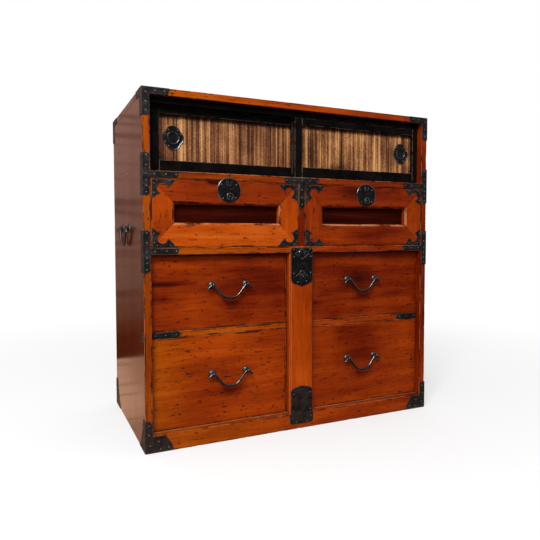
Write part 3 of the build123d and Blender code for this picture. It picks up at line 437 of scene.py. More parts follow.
# ------------------------------------------------------------------ materials
class Shader:
    """Adds nodes to a new material or world: a socket given as an input is linked, and a value is set."""

    def __init__(self, name, kind="materials"):
        """A new material, or a world, with no nodes yet."""
        self.owner = getattr(bpy.data, kind).new(name)
        self.owner.use_nodes = True
        self.tree = self.owner.node_tree
        self.tree.nodes.clear()

    def node(self, kind, inputs, **settings):
        """One node of a kind, with its settings and inputs."""
        node = self.tree.nodes.new("ShaderNode" + kind)
        for key, value in settings.items():
            setattr(node, key, value)
        for key, value in inputs.items():
            if isinstance(value, bpy.types.NodeSocket):
                self.tree.links.new(value, node.inputs[key])
            else:
                node.inputs[key].default_value = value
        return node

    def add(self, kind, inputs, output=0, **settings):
        """One output of a new node."""
        return self.node(kind, inputs, **settings).outputs[output]

    def close(self, shader, kind="OutputMaterial"):
        """Ends the nodes in an output, and gives the material or world."""
        self.node(kind, {0: shader})
        return self.owner

    def maths(self, operation, *values, clamp=False):
        """The operation on the values, held within 0 to 1 if clamped."""
        return self.add("Math", dict(enumerate(values)), operation=operation, use_clamp=clamp)

    def plus(self, a, b, clamp=False):
        """a plus b."""
        return self.maths("ADD", a, b, clamp=clamp)

    def times(self, a, b):
        """a times b."""
        return self.maths("MULTIPLY", a, b)

    def off_middle(self, value):
        """The value less a half."""
        return self.maths("SUBTRACT", value, 0.5)

    def weighed(self, total, *parts):
        """The total, plus each part's distance from its middle times its weight."""
        for part, weight in parts:
            total = self.plus(total, self.times(self.off_middle(part), weight))
        return total

    def vector(self, operation, inputs, output=0):
        """The operation on vectors."""
        return self.add("VectorMath", inputs, output, operation=operation)

    def attribute(self, name):
        """The value that the surface holds under a name at each point."""
        return self.add("Attribute", {}, 2, attribute_name=name)

    def object_place(self):
        """The object's own coordinates, in metres."""
        return self.add("TexCoord", {}, 3)

    def split(self, place):
        """The x, y and z of a vector."""
        return self.node("SeparateXYZ", {0: place}).outputs

    def join(self, *parts):
        """The vector of an x, y and z."""
        return self.add("CombineXYZ", dict(enumerate(parts)))

    def scaled(self, place, scale):
        """The coordinates times a scale along each axis."""
        return self.add("Mapping", {"Vector": place, "Scale": scale})

    def noise(self, place, scale, detail=2.0, roughness=0.5, distortion=0.0):
        """Smooth noise of one scale, or of three scales along the axes."""
        if isinstance(scale, tuple):
            place, scale = self.scaled(place, scale), 1.0
        values = {"Scale": scale, "Detail": detail, "Roughness": roughness, "Distortion": distortion}
        return self.add("TexNoise", {"Vector": place, **values})

    def band(self, value, low, high, start=0.0, stop=1.0):
        """A smooth step from start to stop as the value goes from low to high."""
        ends = {"From Min": low, "From Max": high, "To Min": start, "To Max": stop}
        return self.add("MapRange", {"Value": value, **ends}, interpolation_type="SMOOTHSTEP")

    def near_middle(self, value, low, high):
        """A smooth step on the value's distance from a half, as that goes from low to high."""
        return self.band(self.maths("ABSOLUTE", self.off_middle(value)), low, high)

    def mix(self, factor, a, b, blend="MIX"):
        """Colour a blended into colour b by the factor."""
        a, b = (v if isinstance(v, bpy.types.NodeSocket) else (*v[:3], 1.0) for v in (a, b))
        return self.add("Mix", {0: factor, 6: a, 7: b}, 2, data_type="RGBA", blend_type=blend)

    def ramp(self, value, stops):
        """A colour read off a line of stops, each a place from 0 to 1 and its colour."""
        node = self.node("ValToRGB", {0: value})
        elements = node.color_ramp.elements
        while len(elements) < len(stops):
            elements.new(0.5)
        for element, (place, shade) in zip(elements, stops):
            element.position, element.color = place, (*shade[:3], 1.0)
        return node.outputs[0]

    def worn(self, shade, edges, noise, where, amount, under):
        """Shows what is under a finish where both the edge value and a noise are in their bands."""
        factor = self.times(self.band(self.attribute("edge"), *edges), self.band(noise, *where))
        return self.mix(self.times(factor, amount), shade, under)

    def finish(self, base, roughness, height, bump, distance, specular):
        """Closes the material with a Principled shader whose specular level is set on its own socket."""
        normal = self.add("Bump", {"Strength": bump, "Distance": distance, "Height": height})
        inputs = {"Base Color": base, "Roughness": roughness, "Specular IOR Level": specular, "Normal": normal}
        return self.close(self.add("BsdfPrincipled", inputs))

    def board_coordinates(self, upright):
        """Object coordinates with the grain along X, moved on by each board's own number."""
        place = self.object_place()
        if upright:
            x, y, z = self.split(place)
            place = self.join(z, y, x)
        shift = self.vector("SCALE", {0: (9.1, 3.7, 5.3), "Scale": self.attribute("board")})
        return self.vector("ADD", {0: place, 1: shift})

    def turned_on_sides(self, place):
        """The coordinates with X and Y swapped on faces that look left or right, whose grain runs front to back."""
        sideways = self.maths("ABSOLUTE", self.split(self.add("TexCoord", {}, 1))[0])
        x, y, z = self.split(place)
        return self.mix(self.maths("GREATER_THAN", sideways, 0.7), place, self.join(y, x, z))


def front_lacquer(name, upright, base=0.5, figure=0.62, wear=1.0):
    """Worn orange to red-brown lacquer: long figure, fine grain, dark dashes and pits, rubbed arrises.

    Wear is how much dirt and how many pits it has. The rust value makes it yellower.
    """
    wood = bpy.context.scene.chest_wood
    s = Shader(name)
    place = s.board_coordinates(upright)
    bands = s.noise(place, (3.2, 36, 36), 4, 0.6, 0.5)
    grain = s.noise(place, (14, 360, 360), 4, 0.7)
    cross = s.noise(place, (210, 24, 24), 2, 0.6)
    patch = s.noise(place, 6.5, 3)
    tone = s.weighed(s.plus(s.attribute("tone"), base), (bands, figure), (patch, 0.5), (grain, 0.5), (cross, 0.06))
    shade = s.ramp(
        s.plus(tone, 0.0, clamp=True),
        [(0.0, wood.deep), (0.26, wood.red), (0.5, wood.brown), (0.74, wood.orange), (1.0, wood.pale)],
    )
    shade = s.mix(s.attribute("rust"), shade, (1.0, 1.42, 1.0), blend="MULTIPLY")
    # dashes along the grain and pits, both crowded where a slow noise is high
    crowd = s.times(s.off_middle(s.noise(place, 8.0, 2, 0.6)), 1.2)
    shaken = s.add("TexNoise", {"Vector": place, "Scale": 90.0, "Detail": 1.0}, 1)
    shaken = s.vector("MULTIPLY_ADD", {0: shaken, 1: (0.016, 0.006, 0.006), 2: place})
    dark = s.times(s.band(s.noise(shaken, (44, 210, 210), 1), 0.66, 0.72), 0.8)
    for cell, reach, share in (((27, 74, 74), 0.17, 0.87), ((52, 140, 140), 0.20, 0.88), ((120, 260, 260), 0.22, 0.86)):
        spots = s.node("TexVoronoi", {"Vector": s.scaled(shaken, cell), "Scale": 1.0, "Randomness": 1.0}).outputs
        lot = s.add("SeparateColor", {0: spots["Color"]})
        chosen = s.band(s.plus(lot, crowd), share, share + 0.03)
        spot = s.times(s.band(spots["Distance"], reach, reach * 0.55), chosen)
        dark = s.maths("MAXIMUM", dark, s.times(spot, 0.93))
    dark = s.times(dark, wear)
    shade = s.mix(dark, shade, (0.010, 0.0035, 0.0025))
    # dirt in a broken line beside the arrises, then bare wood on them; on the upper drawers' window bevels these two
    # bands also paint a shade and a highlight
    broken = s.noise(shaken, (24, 90, 90), 3, 0.7)
    shade = s.worn(shade, (0.55, 0.76), broken, (0.47, 0.56), 0.86 * wear, (0.011, 0.004, 0.003))
    start = 0.44 - 0.25 * (1 - wear)
    rubbed = s.noise(place, (13, 60, 60), 3, 0.65)
    shade = s.worn(shade, (0.88, 0.96), rubbed, (start, start + 0.12), 0.72, wood.worn)
    height = s.maths("SUBTRACT", s.times(grain, 0.25), dark)
    rough = s.plus(s.times(dark, 0.25), s.band(patch, 0.3, 0.7, 0.30, 0.42))
    return s.finish(shade, rough, height, 0.4, 0.0007, 0.05)


def case_lacquer(name, upright, lines=0.35):
    """Glossy red-brown lacquer with faint grain, a faint weave and, if asked, thin lines across the grain.

    A line runs where a noise that changes quickly along the grain and hardly across it passes its
    middle value; a second noise breaks it.
    """
    wood = bpy.context.scene.chest_wood
    s = Shader(name)
    place = s.board_coordinates(upright)
    bands = s.noise(place, (1.4, 16, 16), 3, 0.6)
    grain = s.noise(place, (8, 240, 240), 3, 0.6)
    torn = s.noise(place, (9, 11, 11), 3, 0.7)
    line = s.near_middle(s.noise(place, (15, 0.35, 0.35), 0), 0.007, 0.002)
    line = s.times(line, s.band(torn, 0.38, 0.58, 0.2, 1.0))
    weave = s.near_middle(s.noise(place, (120, 1.5, 1.5), 1), 0.05, 0.01)
    dark, light = tuple(c * 0.62 for c in wood.case), tuple(min(1.0, c * 1.55) for c in wood.case)
    mixed = s.plus(s.times(bands, 0.75), s.times(grain, 0.25))
    shade = s.ramp(mixed, [(0.3, dark), (0.5, wood.case), (0.72, light)])
    shade = s.mix(s.times(line, lines), shade, (0.010, 0.004, 0.003))
    shade = s.mix(s.times(weave, 0.3), shade, dark)
    rubbed = s.noise(place, (14, 50, 50), 3, 0.7)
    shade = s.worn(shade, (0.86, 0.97), rubbed, (0.48, 0.62), 0.7, wood.worn)
    height = s.maths("SUBTRACT", s.times(bands, 0.8), s.times(line, 0.5 * lines))
    rough = s.plus(s.band(grain, 0.3, 0.7, 0.11, 0.19), s.times(line, 0.25 * lines))
    return s.finish(shade, rough, height, 0.10, 0.0008, 0.36)


def black_lacquer(name):
    """Black lacquer of the door frames and tracks, rubbed brown on the arrises."""
    s = Shader(name)
    place = s.board_coordinates(False)
    cloud = s.noise(place, 16.0, 4, 0.6)
    shade = s.ramp(cloud, [(0.35, (0.0022, 0.0018, 0.0016)), (0.7, (0.006, 0.0045, 0.0038))])
    rubbed = s.noise(place, (30, 90, 60), 3, 0.7)
    shade = s.worn(shade, (0.86, 0.96), rubbed, (0.40, 0.54), 0.75, (0.17, 0.115, 0.085))
    return s.finish(shade, s.band(cloud, 0.3, 0.7, 0.22, 0.32), cloud, 0.08, 0.0006, 0.2)


def striped_wood(name):
    """Weathered door panels: upright stripes from dark to pale brown, with raised grain."""
    s = Shader(name)
    place = s.board_coordinates(True)
    wide = s.noise(place, (1.1, 112, 112))
    narrow = s.noise(place, (3.0, 270, 270), 4, 0.7)
    speck = s.noise(place, (180, 620, 620))
    cloud = s.noise(place, 13.0, 3)
    value = s.weighed(s.attribute("tone"), (wide, 0.75), (narrow, 1.10), (speck, 0.55), (cloud, 0.50))
    brown, tan, pale = (0.115, 0.038, 0.015), (0.26, 0.098, 0.034), (0.62, 0.31, 0.115)
    shade = s.ramp(s.plus(value, 0.5), [(0.28, (0.030, 0.009, 0.004)), (0.42, brown), (0.55, tan), (0.76, pale)])
    return s.finish(shade, 0.55, s.plus(narrow, s.times(speck, 0.5)), 0.6, 0.0014, 0.1)


def bare_softwood(name, upright, shade_by=1.0):
    """Planed softwood, browned with age, with growth lines along the grain and dirt in its boards' joints."""
    base = tuple(c * shade_by for c in bpy.context.scene.chest_wood.softwood)
    half, bright, dirty = (tuple(min(1.0, c * k) for c in base) for k in (0.5, 1.3, 0.25))
    s = Shader(name)
    place = s.board_coordinates(upright)
    if not upright:
        place = s.turned_on_sides(place)
    rings = s.noise(place, (1.6, 60, 60), 3, 0.5, 0.4)
    fine = s.noise(place, (10, 420, 420), 3, 0.6)
    value = s.plus(s.times(rings, 0.55), s.times(fine, 0.25))
    value = s.plus(value, s.times(s.noise(place, 4.5, 3), 0.2))
    value = s.plus(value, s.times(s.attribute("tone"), 0.07))
    shade = s.ramp(value, [(0.32, half), (0.5, base), (0.68, bright)])
    shade = s.mix(s.band(s.attribute("edge"), 0.3, 0.9, 0.0, 0.7), shade, dirty)
    return s.finish(shade, 0.62, value, 0.2, 0.0005, 0.3)


def window_wood(name):
    """The dark red-brown panel behind a drawer's window."""
    s = Shader(name)
    place = s.board_coordinates(False)
    grain = s.noise(place, (14, 380, 380), 3)
    value = s.plus(s.times(s.noise(place, (3.0, 45, 45), 3, 0.6), 0.7), s.times(grain, 0.3))
    dark, middle, light = (0.008, 0.0010, 0.0005), (0.034, 0.0028, 0.0008), (0.072, 0.0065, 0.0015)
    return s.finish(s.ramp(value, [(0.3, dark), (0.55, middle), (0.75, light)]), 0.30, grain, 0.15, 0.0004, 0.05)


def forged_iron(name, polish=0.0):
    """Blackened iron: hammered and pitted, brown where the rust value is high, rubbed bright on its edges.

    An edge value above one is a nail head's crown, which is brighter still: rubbed iron and a painted highlight.
    Polish smooths its pits and its gloss, for the irons that hands touch. Tone makes it duller.
    """
    iron = bpy.context.scene.chest_iron
    s = Shader(name)
    place = s.object_place()
    rust, edge = s.attribute("rust"), s.attribute("edge")
    cloud = s.noise(place, 42.0, 4, 0.65)
    fleck = s.band(s.noise(place, 260.0, 2, 0.7), 0.60, 0.72)
    shade = s.mix(s.band(cloud, 0.45, 0.64, 0.0, 0.8 - 0.3 * polish), iron.black, (0.020, 0.0188, 0.0184))
    brown = s.times(rust, s.band(cloud, 0.34, 0.58))
    shade = s.mix(brown, shade, iron.brown)
    flecked = s.times(s.times(s.plus(rust, 0.25), fleck), 0.35)
    shade = s.mix(flecked, shade, (0.085, 0.066, 0.052))
    rubbed = s.band(s.noise(place, 210.0, 3, 0.7), 0.38, 0.66)
    shade = s.mix(s.times(s.times(s.band(edge, 0.35, 1.0), rubbed), 0.6), shade, iron.bright)
    # nail crowns lighter still: rubbed iron with a painted highlight
    shade = s.mix(s.band(edge, 1.0, 1.3, 0.0, 0.6), shade, (0.30, 0.29, 0.28))
    pits = s.times(s.noise(place, 420.0, 3, 0.6), 0.35 * (1.0 - polish))
    rough = s.band(cloud, 0.3, 0.7, 0.36 - 0.14 * polish, 0.5 - 0.20 * polish)
    rough = s.plus(rough, s.times(brown, 0.2), clamp=True)
    rough = s.plus(rough, s.times(s.attribute("tone"), 0.25), clamp=True)
    height = s.plus(s.noise(place, 95.0), pits)
    return s.finish(shade, rough, height, 0.45 - 0.3 * polish, 0.0008, 0.28 + 0.45 * polish)


MATERIALS = {}


def finishes():
    """Every finish of the chest, made once."""
    if not MATERIALS:
        MATERIALS.update(
            front=front_lacquer("front_lacquer", False),
            upright=front_lacquer("upright_lacquer", True),
            bar=front_lacquer("bar_lacquer", True, base=0.57, figure=0.6, wear=0.35),
            case=case_lacquer("case_lacquer", True),
            top=case_lacquer("top_lacquer", False, 0.0),
            black=black_lacquer("black_lacquer"),
            panel=striped_wood("striped_panel_wood"),
            window=window_wood("window_panel_wood"),
            soft=bare_softwood("softwood", False),
            back=bare_softwood("back_softwood", True, 0.62),
            iron=forged_iron("forged_iron"),
            handle=forged_iron("handled_iron", polish=1.3),
        )
    return MATERIALS


def refinish(finish, *nodes):
    """Gives CAD nodes that keep their shape a better material."""
    for node in nodes:
        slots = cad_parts[node].data.materials
        slots.clear()
        slots.append(finishes()[finish])


# ------------------------------------------------------------------ the case
FRONT_SKIN = FRONT + 0.7  # quads before this plane have the front's lacquer
GROOVE_DEEP, EASE = 3.2, 1.0  # the doors' grooves and the rounding of the shelf that has them
GROOVES = (-211.9, -203.1), (-193.9, -185.1)  # front and back wall of each
BACK_TONES = (0.5, -0.4, 0.1, -0.8, 0.3)  # one for each board
# undersides and tops of the boards that lie across the case
TOP_LOW = 922.0
SILL_LOW, SILL_HIGH = 712.0, 731.0
MIDDLE_LOW, MIDDLE_HIGH = 515.0, 533.0
LOWER_LOW, LOWER_HIGH = 294.0, 311.0
BOTTOM_HIGH = 46.0
# the boards that stand between the drawers
DIVIDER_HALF, STILE_HALF = 10.0, 41.5
STILE_FACE, STILE_BACK = -212.5, -192.5


def case_sides():
    """The two side boards: glossy on their faces, front lacquer on their front edges."""
    for side, name in SIDE_NAMES.items():
        low, high = (np.array(v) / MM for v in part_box(f"{name}_side"))
        spots = (side * 445, 880, 60, 40, 0.12), (side * 445, 330, 60, 200, -0.05)
        shape = board(low, high, 11 + side, (30, 12, 6), blobs(0.02 if side == LEFT else -0.16, *spots), 2.2)
        middle = face_middles(shape)
        shape["paint"] = (middle[:, 1] < FRONT_SKIN) | (abs(middle[:, 0]) < IN + 0.7)
        build(f"{name}_side_board", yellowed_leftwards(shape), "case upright", "carcass", f"{name}_side")


def case_top():
    """The top board: glossy, its front edge in front lacquer and less worn below."""
    tone = blobs(0.12, (-400, 930, 160, 60, 0.16), (60, 930, 300, 60, 0.02), (470, 930, 260, 60, -0.22))
    shape = board((-OUT, FRONT, TOP_LOW), (OUT, BACK, HEIGHT - 0.05), 23, (6, 14, 6), tone, 2.4)
    shape["edge"] *= np.where(shape["points"][:, 2] < (TOP_LOW + 2.5) * MM, 0.5, 1.0)
    shape["paint"] = face_middles(shape)[:, 1] < FRONT_SKIN
    build("top_board_worn", yellowed_leftwards(shape, 0.0), "top front", "carcass", "top_board")


def sill_shelf():
    """The shelf under the doors: a section with two door grooves, its front arrises chipped at each station."""
    low, high = SILL_LOW, SILL_HIGH
    section = [(FRONT, low + EASE), (FRONT, low + 6), (FRONT, high - 6), (FRONT, high - EASE)]
    section += [(FRONT + 0.3 * EASE, high - 0.3 * EASE), (FRONT + EASE, high), (FRONT + 6, high)]
    for a, b in GROOVES:
        section += [(a, high), (a, high - GROOVE_DEEP), (b, high - GROOVE_DEEP), (b, high)]
    section += [(SHELF_BACK, high), (SHELF_BACK, low), (FRONT + 6, low), (FRONT + EASE, low)]
    section = np.array(section + [(FRONT + 0.3 * EASE, low + 0.3 * EASE)])
    edge = [0.9, 0.4, 0.4, 0.95, 1, 0.95, 0.4, 0.2, 0, 0, 0.1, 0.1, 0, 0, 0.1, 0, 0, 0.4, 0.9, 1]
    stations = np.linspace(-IN, IN, 260)
    chip = np.clip(ripple(np.stack([stations, stations * 0, stations * 0], axis=1), 30.0, 5), -0.3, 1) + 0.3
    depth = dict(zip(stations, chip))
    on_arris = np.zeros(len(section))
    on_arris[[4, 5, 18, 19]] = 1

    def place(profile, x):
        """The section at x, with its front arrises pushed in by the chip's depth there."""
        return np.column_stack([np.full(len(profile), x), profile[:, 0] + on_arris * 0.9 * depth[x], profile[:, 1]])

    shape = carried(section, stations, place, edge)
    shape["tone"] = blobs(-0.10, (-250, 720, 160, 30, 0.06), (300, 720, 120, 30, 0.05))(shape["points"] / MM)
    build("sill_shelf_worn", yellowed_leftwards(shape), "front", "carcass", "upper_shelf")


def case_rails():
    """Shelves, rails, divider and stile whose faces show at the front."""
    shelf = blobs(0.04, (-250, 524, 150, 30, 0.12), (250, 524, 200, 30, -0.16))
    rail = blobs(0.03, (-300, 20, 160, 60, 0.05), (330, 20, 160, 60, -0.06))
    lower = []
    for side, tone in ((LEFT, 0.12), (RIGHT, 0.0)):
        ahead = (side * STILE_HALF, INSET, LOWER_LOW), (side * IN, STILE_BACK, LOWER_HIGH)
        behind = (side * DIVIDER_HALF, STILE_BACK, LOWER_LOW), (side * IN, SHELF_BACK, LOWER_HIGH)
        lower.append(board(*ahead, 37 + side, (3.5, 20, 5), tone, 3.0))
        lower.append(board(*behind, 41 + side, (40, 60, 20), tone, 0.0))
    divider = (-DIVIDER_HALF, FRONT, MIDDLE_HIGH), (DIVIDER_HALF, SHELF_BACK, SILL_LOW)
    stile = (-STILE_HALF, STILE_FACE, BOTTOM_HIGH), (STILE_HALF, STILE_BACK, MIDDLE_LOW)
    pieces = {
        "middle_shelf": board((-IN, FRONT, MIDDLE_LOW), (IN, SHELF_BACK, MIDDLE_HIGH), 31, (3.5, 30, 5), shelf, 3.2),
        "lower_shelves": joined(lower),
        "bottom_rail": board((-IN, FRONT, 0), (IN, INSET, BOTTOM_HIGH), 47, (3.5, 10, 5), rail, 5.0, 0.0013),
        "upper_divider": board(*divider, 53, (5, 60, 4), -0.22, 2.0),
        "centre_stile": board(*stile, 59, (8, 10, 5), -0.12, 2.0),
    }
    for node, shape in pieces.items():
        if node in ("upper_divider", "centre_stile"):
            build(f"{node}_worn", shape, "upright", "carcass", node)
        else:
            build(f"{node}_worn", yellowed_leftwards(shape), "front", "carcass", node)


def case_inside():
    """The back's boards, and boards inside that keep their CAD shape."""
    low, high = (np.array(v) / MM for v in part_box("back_boards"))
    ends = np.linspace(low[0], high[0], len(BACK_TONES) + 1)
    parts = []
    for k, tone in enumerate(BACK_TONES):
        first, last = (ends[k] - 0.1, low[1], low[2]), (ends[k + 1] + 0.1, high[1], high[2])
        parts.append(board(first, last, 151 + k, (14, 4, 40), tone, 1.2))
    build("back_boards_planed", joined(parts), "back", "carcass", "back_boards")
    refinish("soft", "bottom_board", "base_runners", "lower_divider", "drawer_guides")
    refinish("black", "door_head_track")
    for name in SIDE_NAMES.values():
        refinish("window", f"{name}_upper_drawer_panel")
        refinish("soft", *(f"{name}_{row}_drawer_box" for row in ("upper", "middle", "bottom")))


# ------------------------------------------------------------------ sliding doors
DOOR_FACE, DOOR_THICK = {LEFT: -197.0, RIGHT: -215.0}, 15
DOOR_LOW, DOOR_HIGH = 731.5, 905.0
DOOR_INNER, DOOR_OUTER = 12.0, 434.5
OUTER_STILE = {LEFT: 402.5, RIGHT: 414.5}  # its inner edge
TONGUE_LOW, TONGUE_HIGH = 728.1, 911
PANEL_LOW, PANEL_HIGH = 763.5, 885.0
PANEL_THICK, PANEL_HOLE = 4.0, 14.9
PULL_X, PULL_Z = {LEFT: 362.5, RIGHT: 374.5}, 824.25
PANEL_TONES = {
    LEFT: blobs(0.0, (-308, 820, 22, 80, -0.07), (-128, 820, 20, 60, -0.07), (-395, 765, 40, 20, -0.08)),
    RIGHT: blobs(0.045, (150, 768, 24, 13, -0.16), (120, 764, 16, 9, -0.10), (395, 800, 20, 60, -0.06)),
}


def door_frame(side):
    """Two stiles and two rails with their tongues."""
    face = DOOR_FACE[side]
    rear, groove = face + DOOR_THICK, (face + 3.5, face + 11.5)
    parts = []
    for k, (low, high) in enumerate(((-DOOR_INNER, DOOR_INNER), (OUTER_STILE[side], DOOR_OUTER))):
        a, b = side * low, side * high
        parts.append(board((a, face, DOOR_LOW), (b, rear, DOOR_HIGH), 61 + k, (6, 5, 4), chips=1.6))
        parts.append(board((a, groove[0], TONGUE_LOW), (b, groove[1], TONGUE_HIGH), 63 + k, (9, 4, 40), chips=0))
    a, b = side * (DOOR_INNER + 0.1), side * (OUTER_STILE[side] - 0.1)
    for k, (low, high) in enumerate(((DOOR_LOW, PANEL_LOW), (PANEL_HIGH, DOOR_HIGH))):
        parts.append(board((a, face, low), (b, rear, high), 65 + k, (4, 5, 6), chips=1.6))
    for k, (low, high) in enumerate(((TONGUE_LOW, 732), (904.5, TONGUE_HIGH))):
        parts.append(board((a, groove[0], low), (b, groove[1], high), 67 + k, (40, 4, 2 + k), chips=0, arris=0.0004))
    return joined(parts)


def door_panel(side):
    """A thin upright-grained panel with a round hole.

    The front is a grid over x and z whose height is a sum of upright ridges. A square of cells round
    the hole is left out, and a ring of quads leads from the square's edge to the circle.
    """
    half = 20.0  # of the square
    centre = np.array((side * PULL_X[side], PULL_Z))
    x0, x1 = sorted((side * (DOOR_INNER + 0.1), side * (OUTER_STILE[side] - 0.1)))
    z0, z1 = PANEL_LOW + 0.1, PANEL_HIGH - 0.1

    def lines(a, b, c, step):
        """Coordinates from a to b: about one each step, and 17 across the square round c."""
        spans = [(a, c - half, int((c - half - a) / step) + 1), (c - half, c + half, 17)]
        spans.append((c + half, b, int((b - c - half) / step) + 1))
        return np.unique(np.concatenate([np.linspace(*span) for span in spans]).round(6))

    xs, zs = lines(x0, x1, centre[0], 1.3), lines(z0, z1, centre[1], 4.0)
    flat = np.stack(np.meshgrid(xs, zs, indexing="ij"), axis=-1).reshape(-1, 2)
    number = np.arange(len(flat)).reshape(len(xs), len(zs))
    cells = grid_quads(len(xs), len(zs))
    cells = cells[(abs(flat[cells].mean(axis=1) - centre) >= half).any(axis=1)]
    rim = np.flatnonzero(abs(abs(flat - centre).max(axis=1) - half) < 1e-3)
    spoke = flat[rim] - centre
    order = np.argsort(np.arctan2(spoke[:, 1], spoke[:, 0]))
    rim, spoke = rim[order], spoke[order]
    bore = len(flat) + np.arange(len(rim))
    flat = np.concatenate([flat, centre + spoke * (PANEL_HOLE / np.linalg.norm(spoke, axis=1))[:, None]])
    front = np.concatenate([cells, np.stack([rim, bore, np.roll(bore, -1), np.roll(rim, -1)], axis=1)])
    count = len(flat)
    upright = np.column_stack([flat[:, 0], np.zeros(count), flat[:, 1] * 0.012])
    ridge = 0.22 * ripple(upright, 7.0, 71 + side) + 0.16 * ripple(upright, 3.1, 73 + side)
    from_edge = np.minimum(flat - (x0, z0), (x1, z1) - flat).min(axis=1)
    rear = np.full(count, DOOR_FACE[side] + DOOR_THICK)
    depth = rear - PANEL_THICK + 0.3 - np.clip(ridge, -0.3, 0.3) * (from_edge > 0.01)
    points = np.concatenate([np.column_stack([flat[:, 0], y, flat[:, 1]]) for y in (depth, rear)])
    outer = np.concatenate([number[0], number[1:, -1], number[-1, -2::-1], number[-2:0:-1, 0]])
    walls = [
        np.stack([line, np.roll(line, -1), np.roll(line, -1) + count, line + count], axis=1) for line in (outer, bore)
    ]
    # the panel's top 13 mm are darkened: a painted shadow of the top rail
    tone = PANEL_TONES[side](points) - 0.22 * smooth_step(points[:, 2], PANEL_HIGH - 13, PANEL_HIGH - 3)
    return surface(points * MM, np.concatenate([front, front[:, ::-1] + count] + walls), tone=tone)


def door_pull(side):
    """A lobed flange with a raised rim, a standing ring and a round cup.

    The outline's radius at each angle is the furthest reach of four circles, and every ring of the
    turned profile blends between that outline and a circle.
    """
    flange, plain = 33.0, 18.0  # radii of the flange's edge and of the circle inside which it is round
    lobes = ((0.0, 12.0, 21.0), (pi, 12.0, 21.0), (pi / 2, 9.0, 20.5), (-pi / 2, 9.0, 20.5))

    def reach(radii, angle):
        """Each radius at each angle: the lobes' outline past the plain circle, less so nearer to it."""
        best = np.zeros_like(angle)
        for turn, offset, size in lobes:
            a = angle + pi / 2 - turn  # turned() has its angle zero below the axis
            best = np.maximum(best, offset * np.cos(a) + np.sqrt(np.maximum(size**2 - (offset * np.sin(a)) ** 2, 0)))
        radii = radii[:, None]
        lobed = np.clip((radii - plain) / 12.0, 0, 1)
        return np.where(lobed > 0, lobed * (best - (flange - radii) * 0.92) + (1 - lobed) * radii, radii)

    profile = [(flange, 0), (flange, 0.8), (32.4, 1.5), (30.9, 1.5), (30.2, 0.9), (27.0, 0.7), (19.5, 0.8), (17.5, 1.0)]
    profile += [(17.2, 2.6), (16.5, 3.6), (15.2, 3.65), (14.2, 3.3), (13.3, 2.4), (13.0, 0.0), (12.4, -3.0)]
    profile += [(11.0, -4.0), (6.0, -4.1), (5.2, -3.6), (2.5, -3.3), (0.3, -3.2)]
    shade = [0.4, 0.7, 0.9, 0.8, 0.2, 0.0, 0.0, 0.0, 0.3, 0.9, 0.9, 0.5, 0.1, 0, 0, 0, 0.0, 0.4, 0.2, 0.1]
    sleeve = [(14.6, -5.4), (14.6, 0.2), (13.0, 0.4), (13.0, -4.2), (12.0, -5.4)]
    centre = np.array((side * PULL_X[side], DOOR_FACE[side] + 11, PULL_Z))
    places = [centre + (sx * a, 0, sz * b) for sx in (-1, 1) for sz in (-1, 1) for a, b in ((21.5, 10.5), (12.5, 21.0))]
    nails = nail_heads(places, -Y, radius=1.8, high=1.3, lift=0.6)
    return joined([turned(profile, centre, -Y, 72, shade, reach), turned(sleeve, centre, -Y, 40)] + nails)


def doors():
    """Each door's frame, panel and pull."""
    for side, name in SIDE_NAMES.items():
        body = f"{name}_door"
        build(f"{body}_frame_worn", door_frame(side), "black", body, f"{body}_frame")
        build(f"{body}_panel_ridged", door_panel(side), "panel", body, f"{body}_panel")
        build(f"{body}_pull_lobed", door_pull(side), "handle", body, f"{body}_pull")


# ------------------------------------------------------------------ upper drawers
UPPER_LOW, UPPER_HIGH = 534.0, 711.0
UPPER_INNER, UPPER_OUTER = 11.0, 434.0
FRAME_STILE, FRAME_RAIL, FRAME_BEVEL, FRAME_DEPTH = 61.0, 64.0, 5.0, 18
MITRE_GAP = 0.2
DISC_X, DISC_Z = 222.5, 687.0
FRAME_TONES = {
    LEFT: {
        "top": blobs(-0.10, (-120, 690, 130, 30, -0.10), (-340, 690, 60, 30, 0.06), (-266, 707, 15, 4.5, -1.2)),
        "bottom": blobs(0.30, (-300, 560, 90, 30, 0.06)),
        "left": blobs(0.12), "right": blobs(0.22),
    },
    RIGHT: {
        "top": blobs(-0.15, (240, 690, 90, 20, -0.14), (60, 700, 70, 30, 0.06)),
        "bottom": blobs(-0.07, (330, 560, 80, 30, -0.08)),
        "left": blobs(-0.05), "right": blobs(0.04),
    },
}


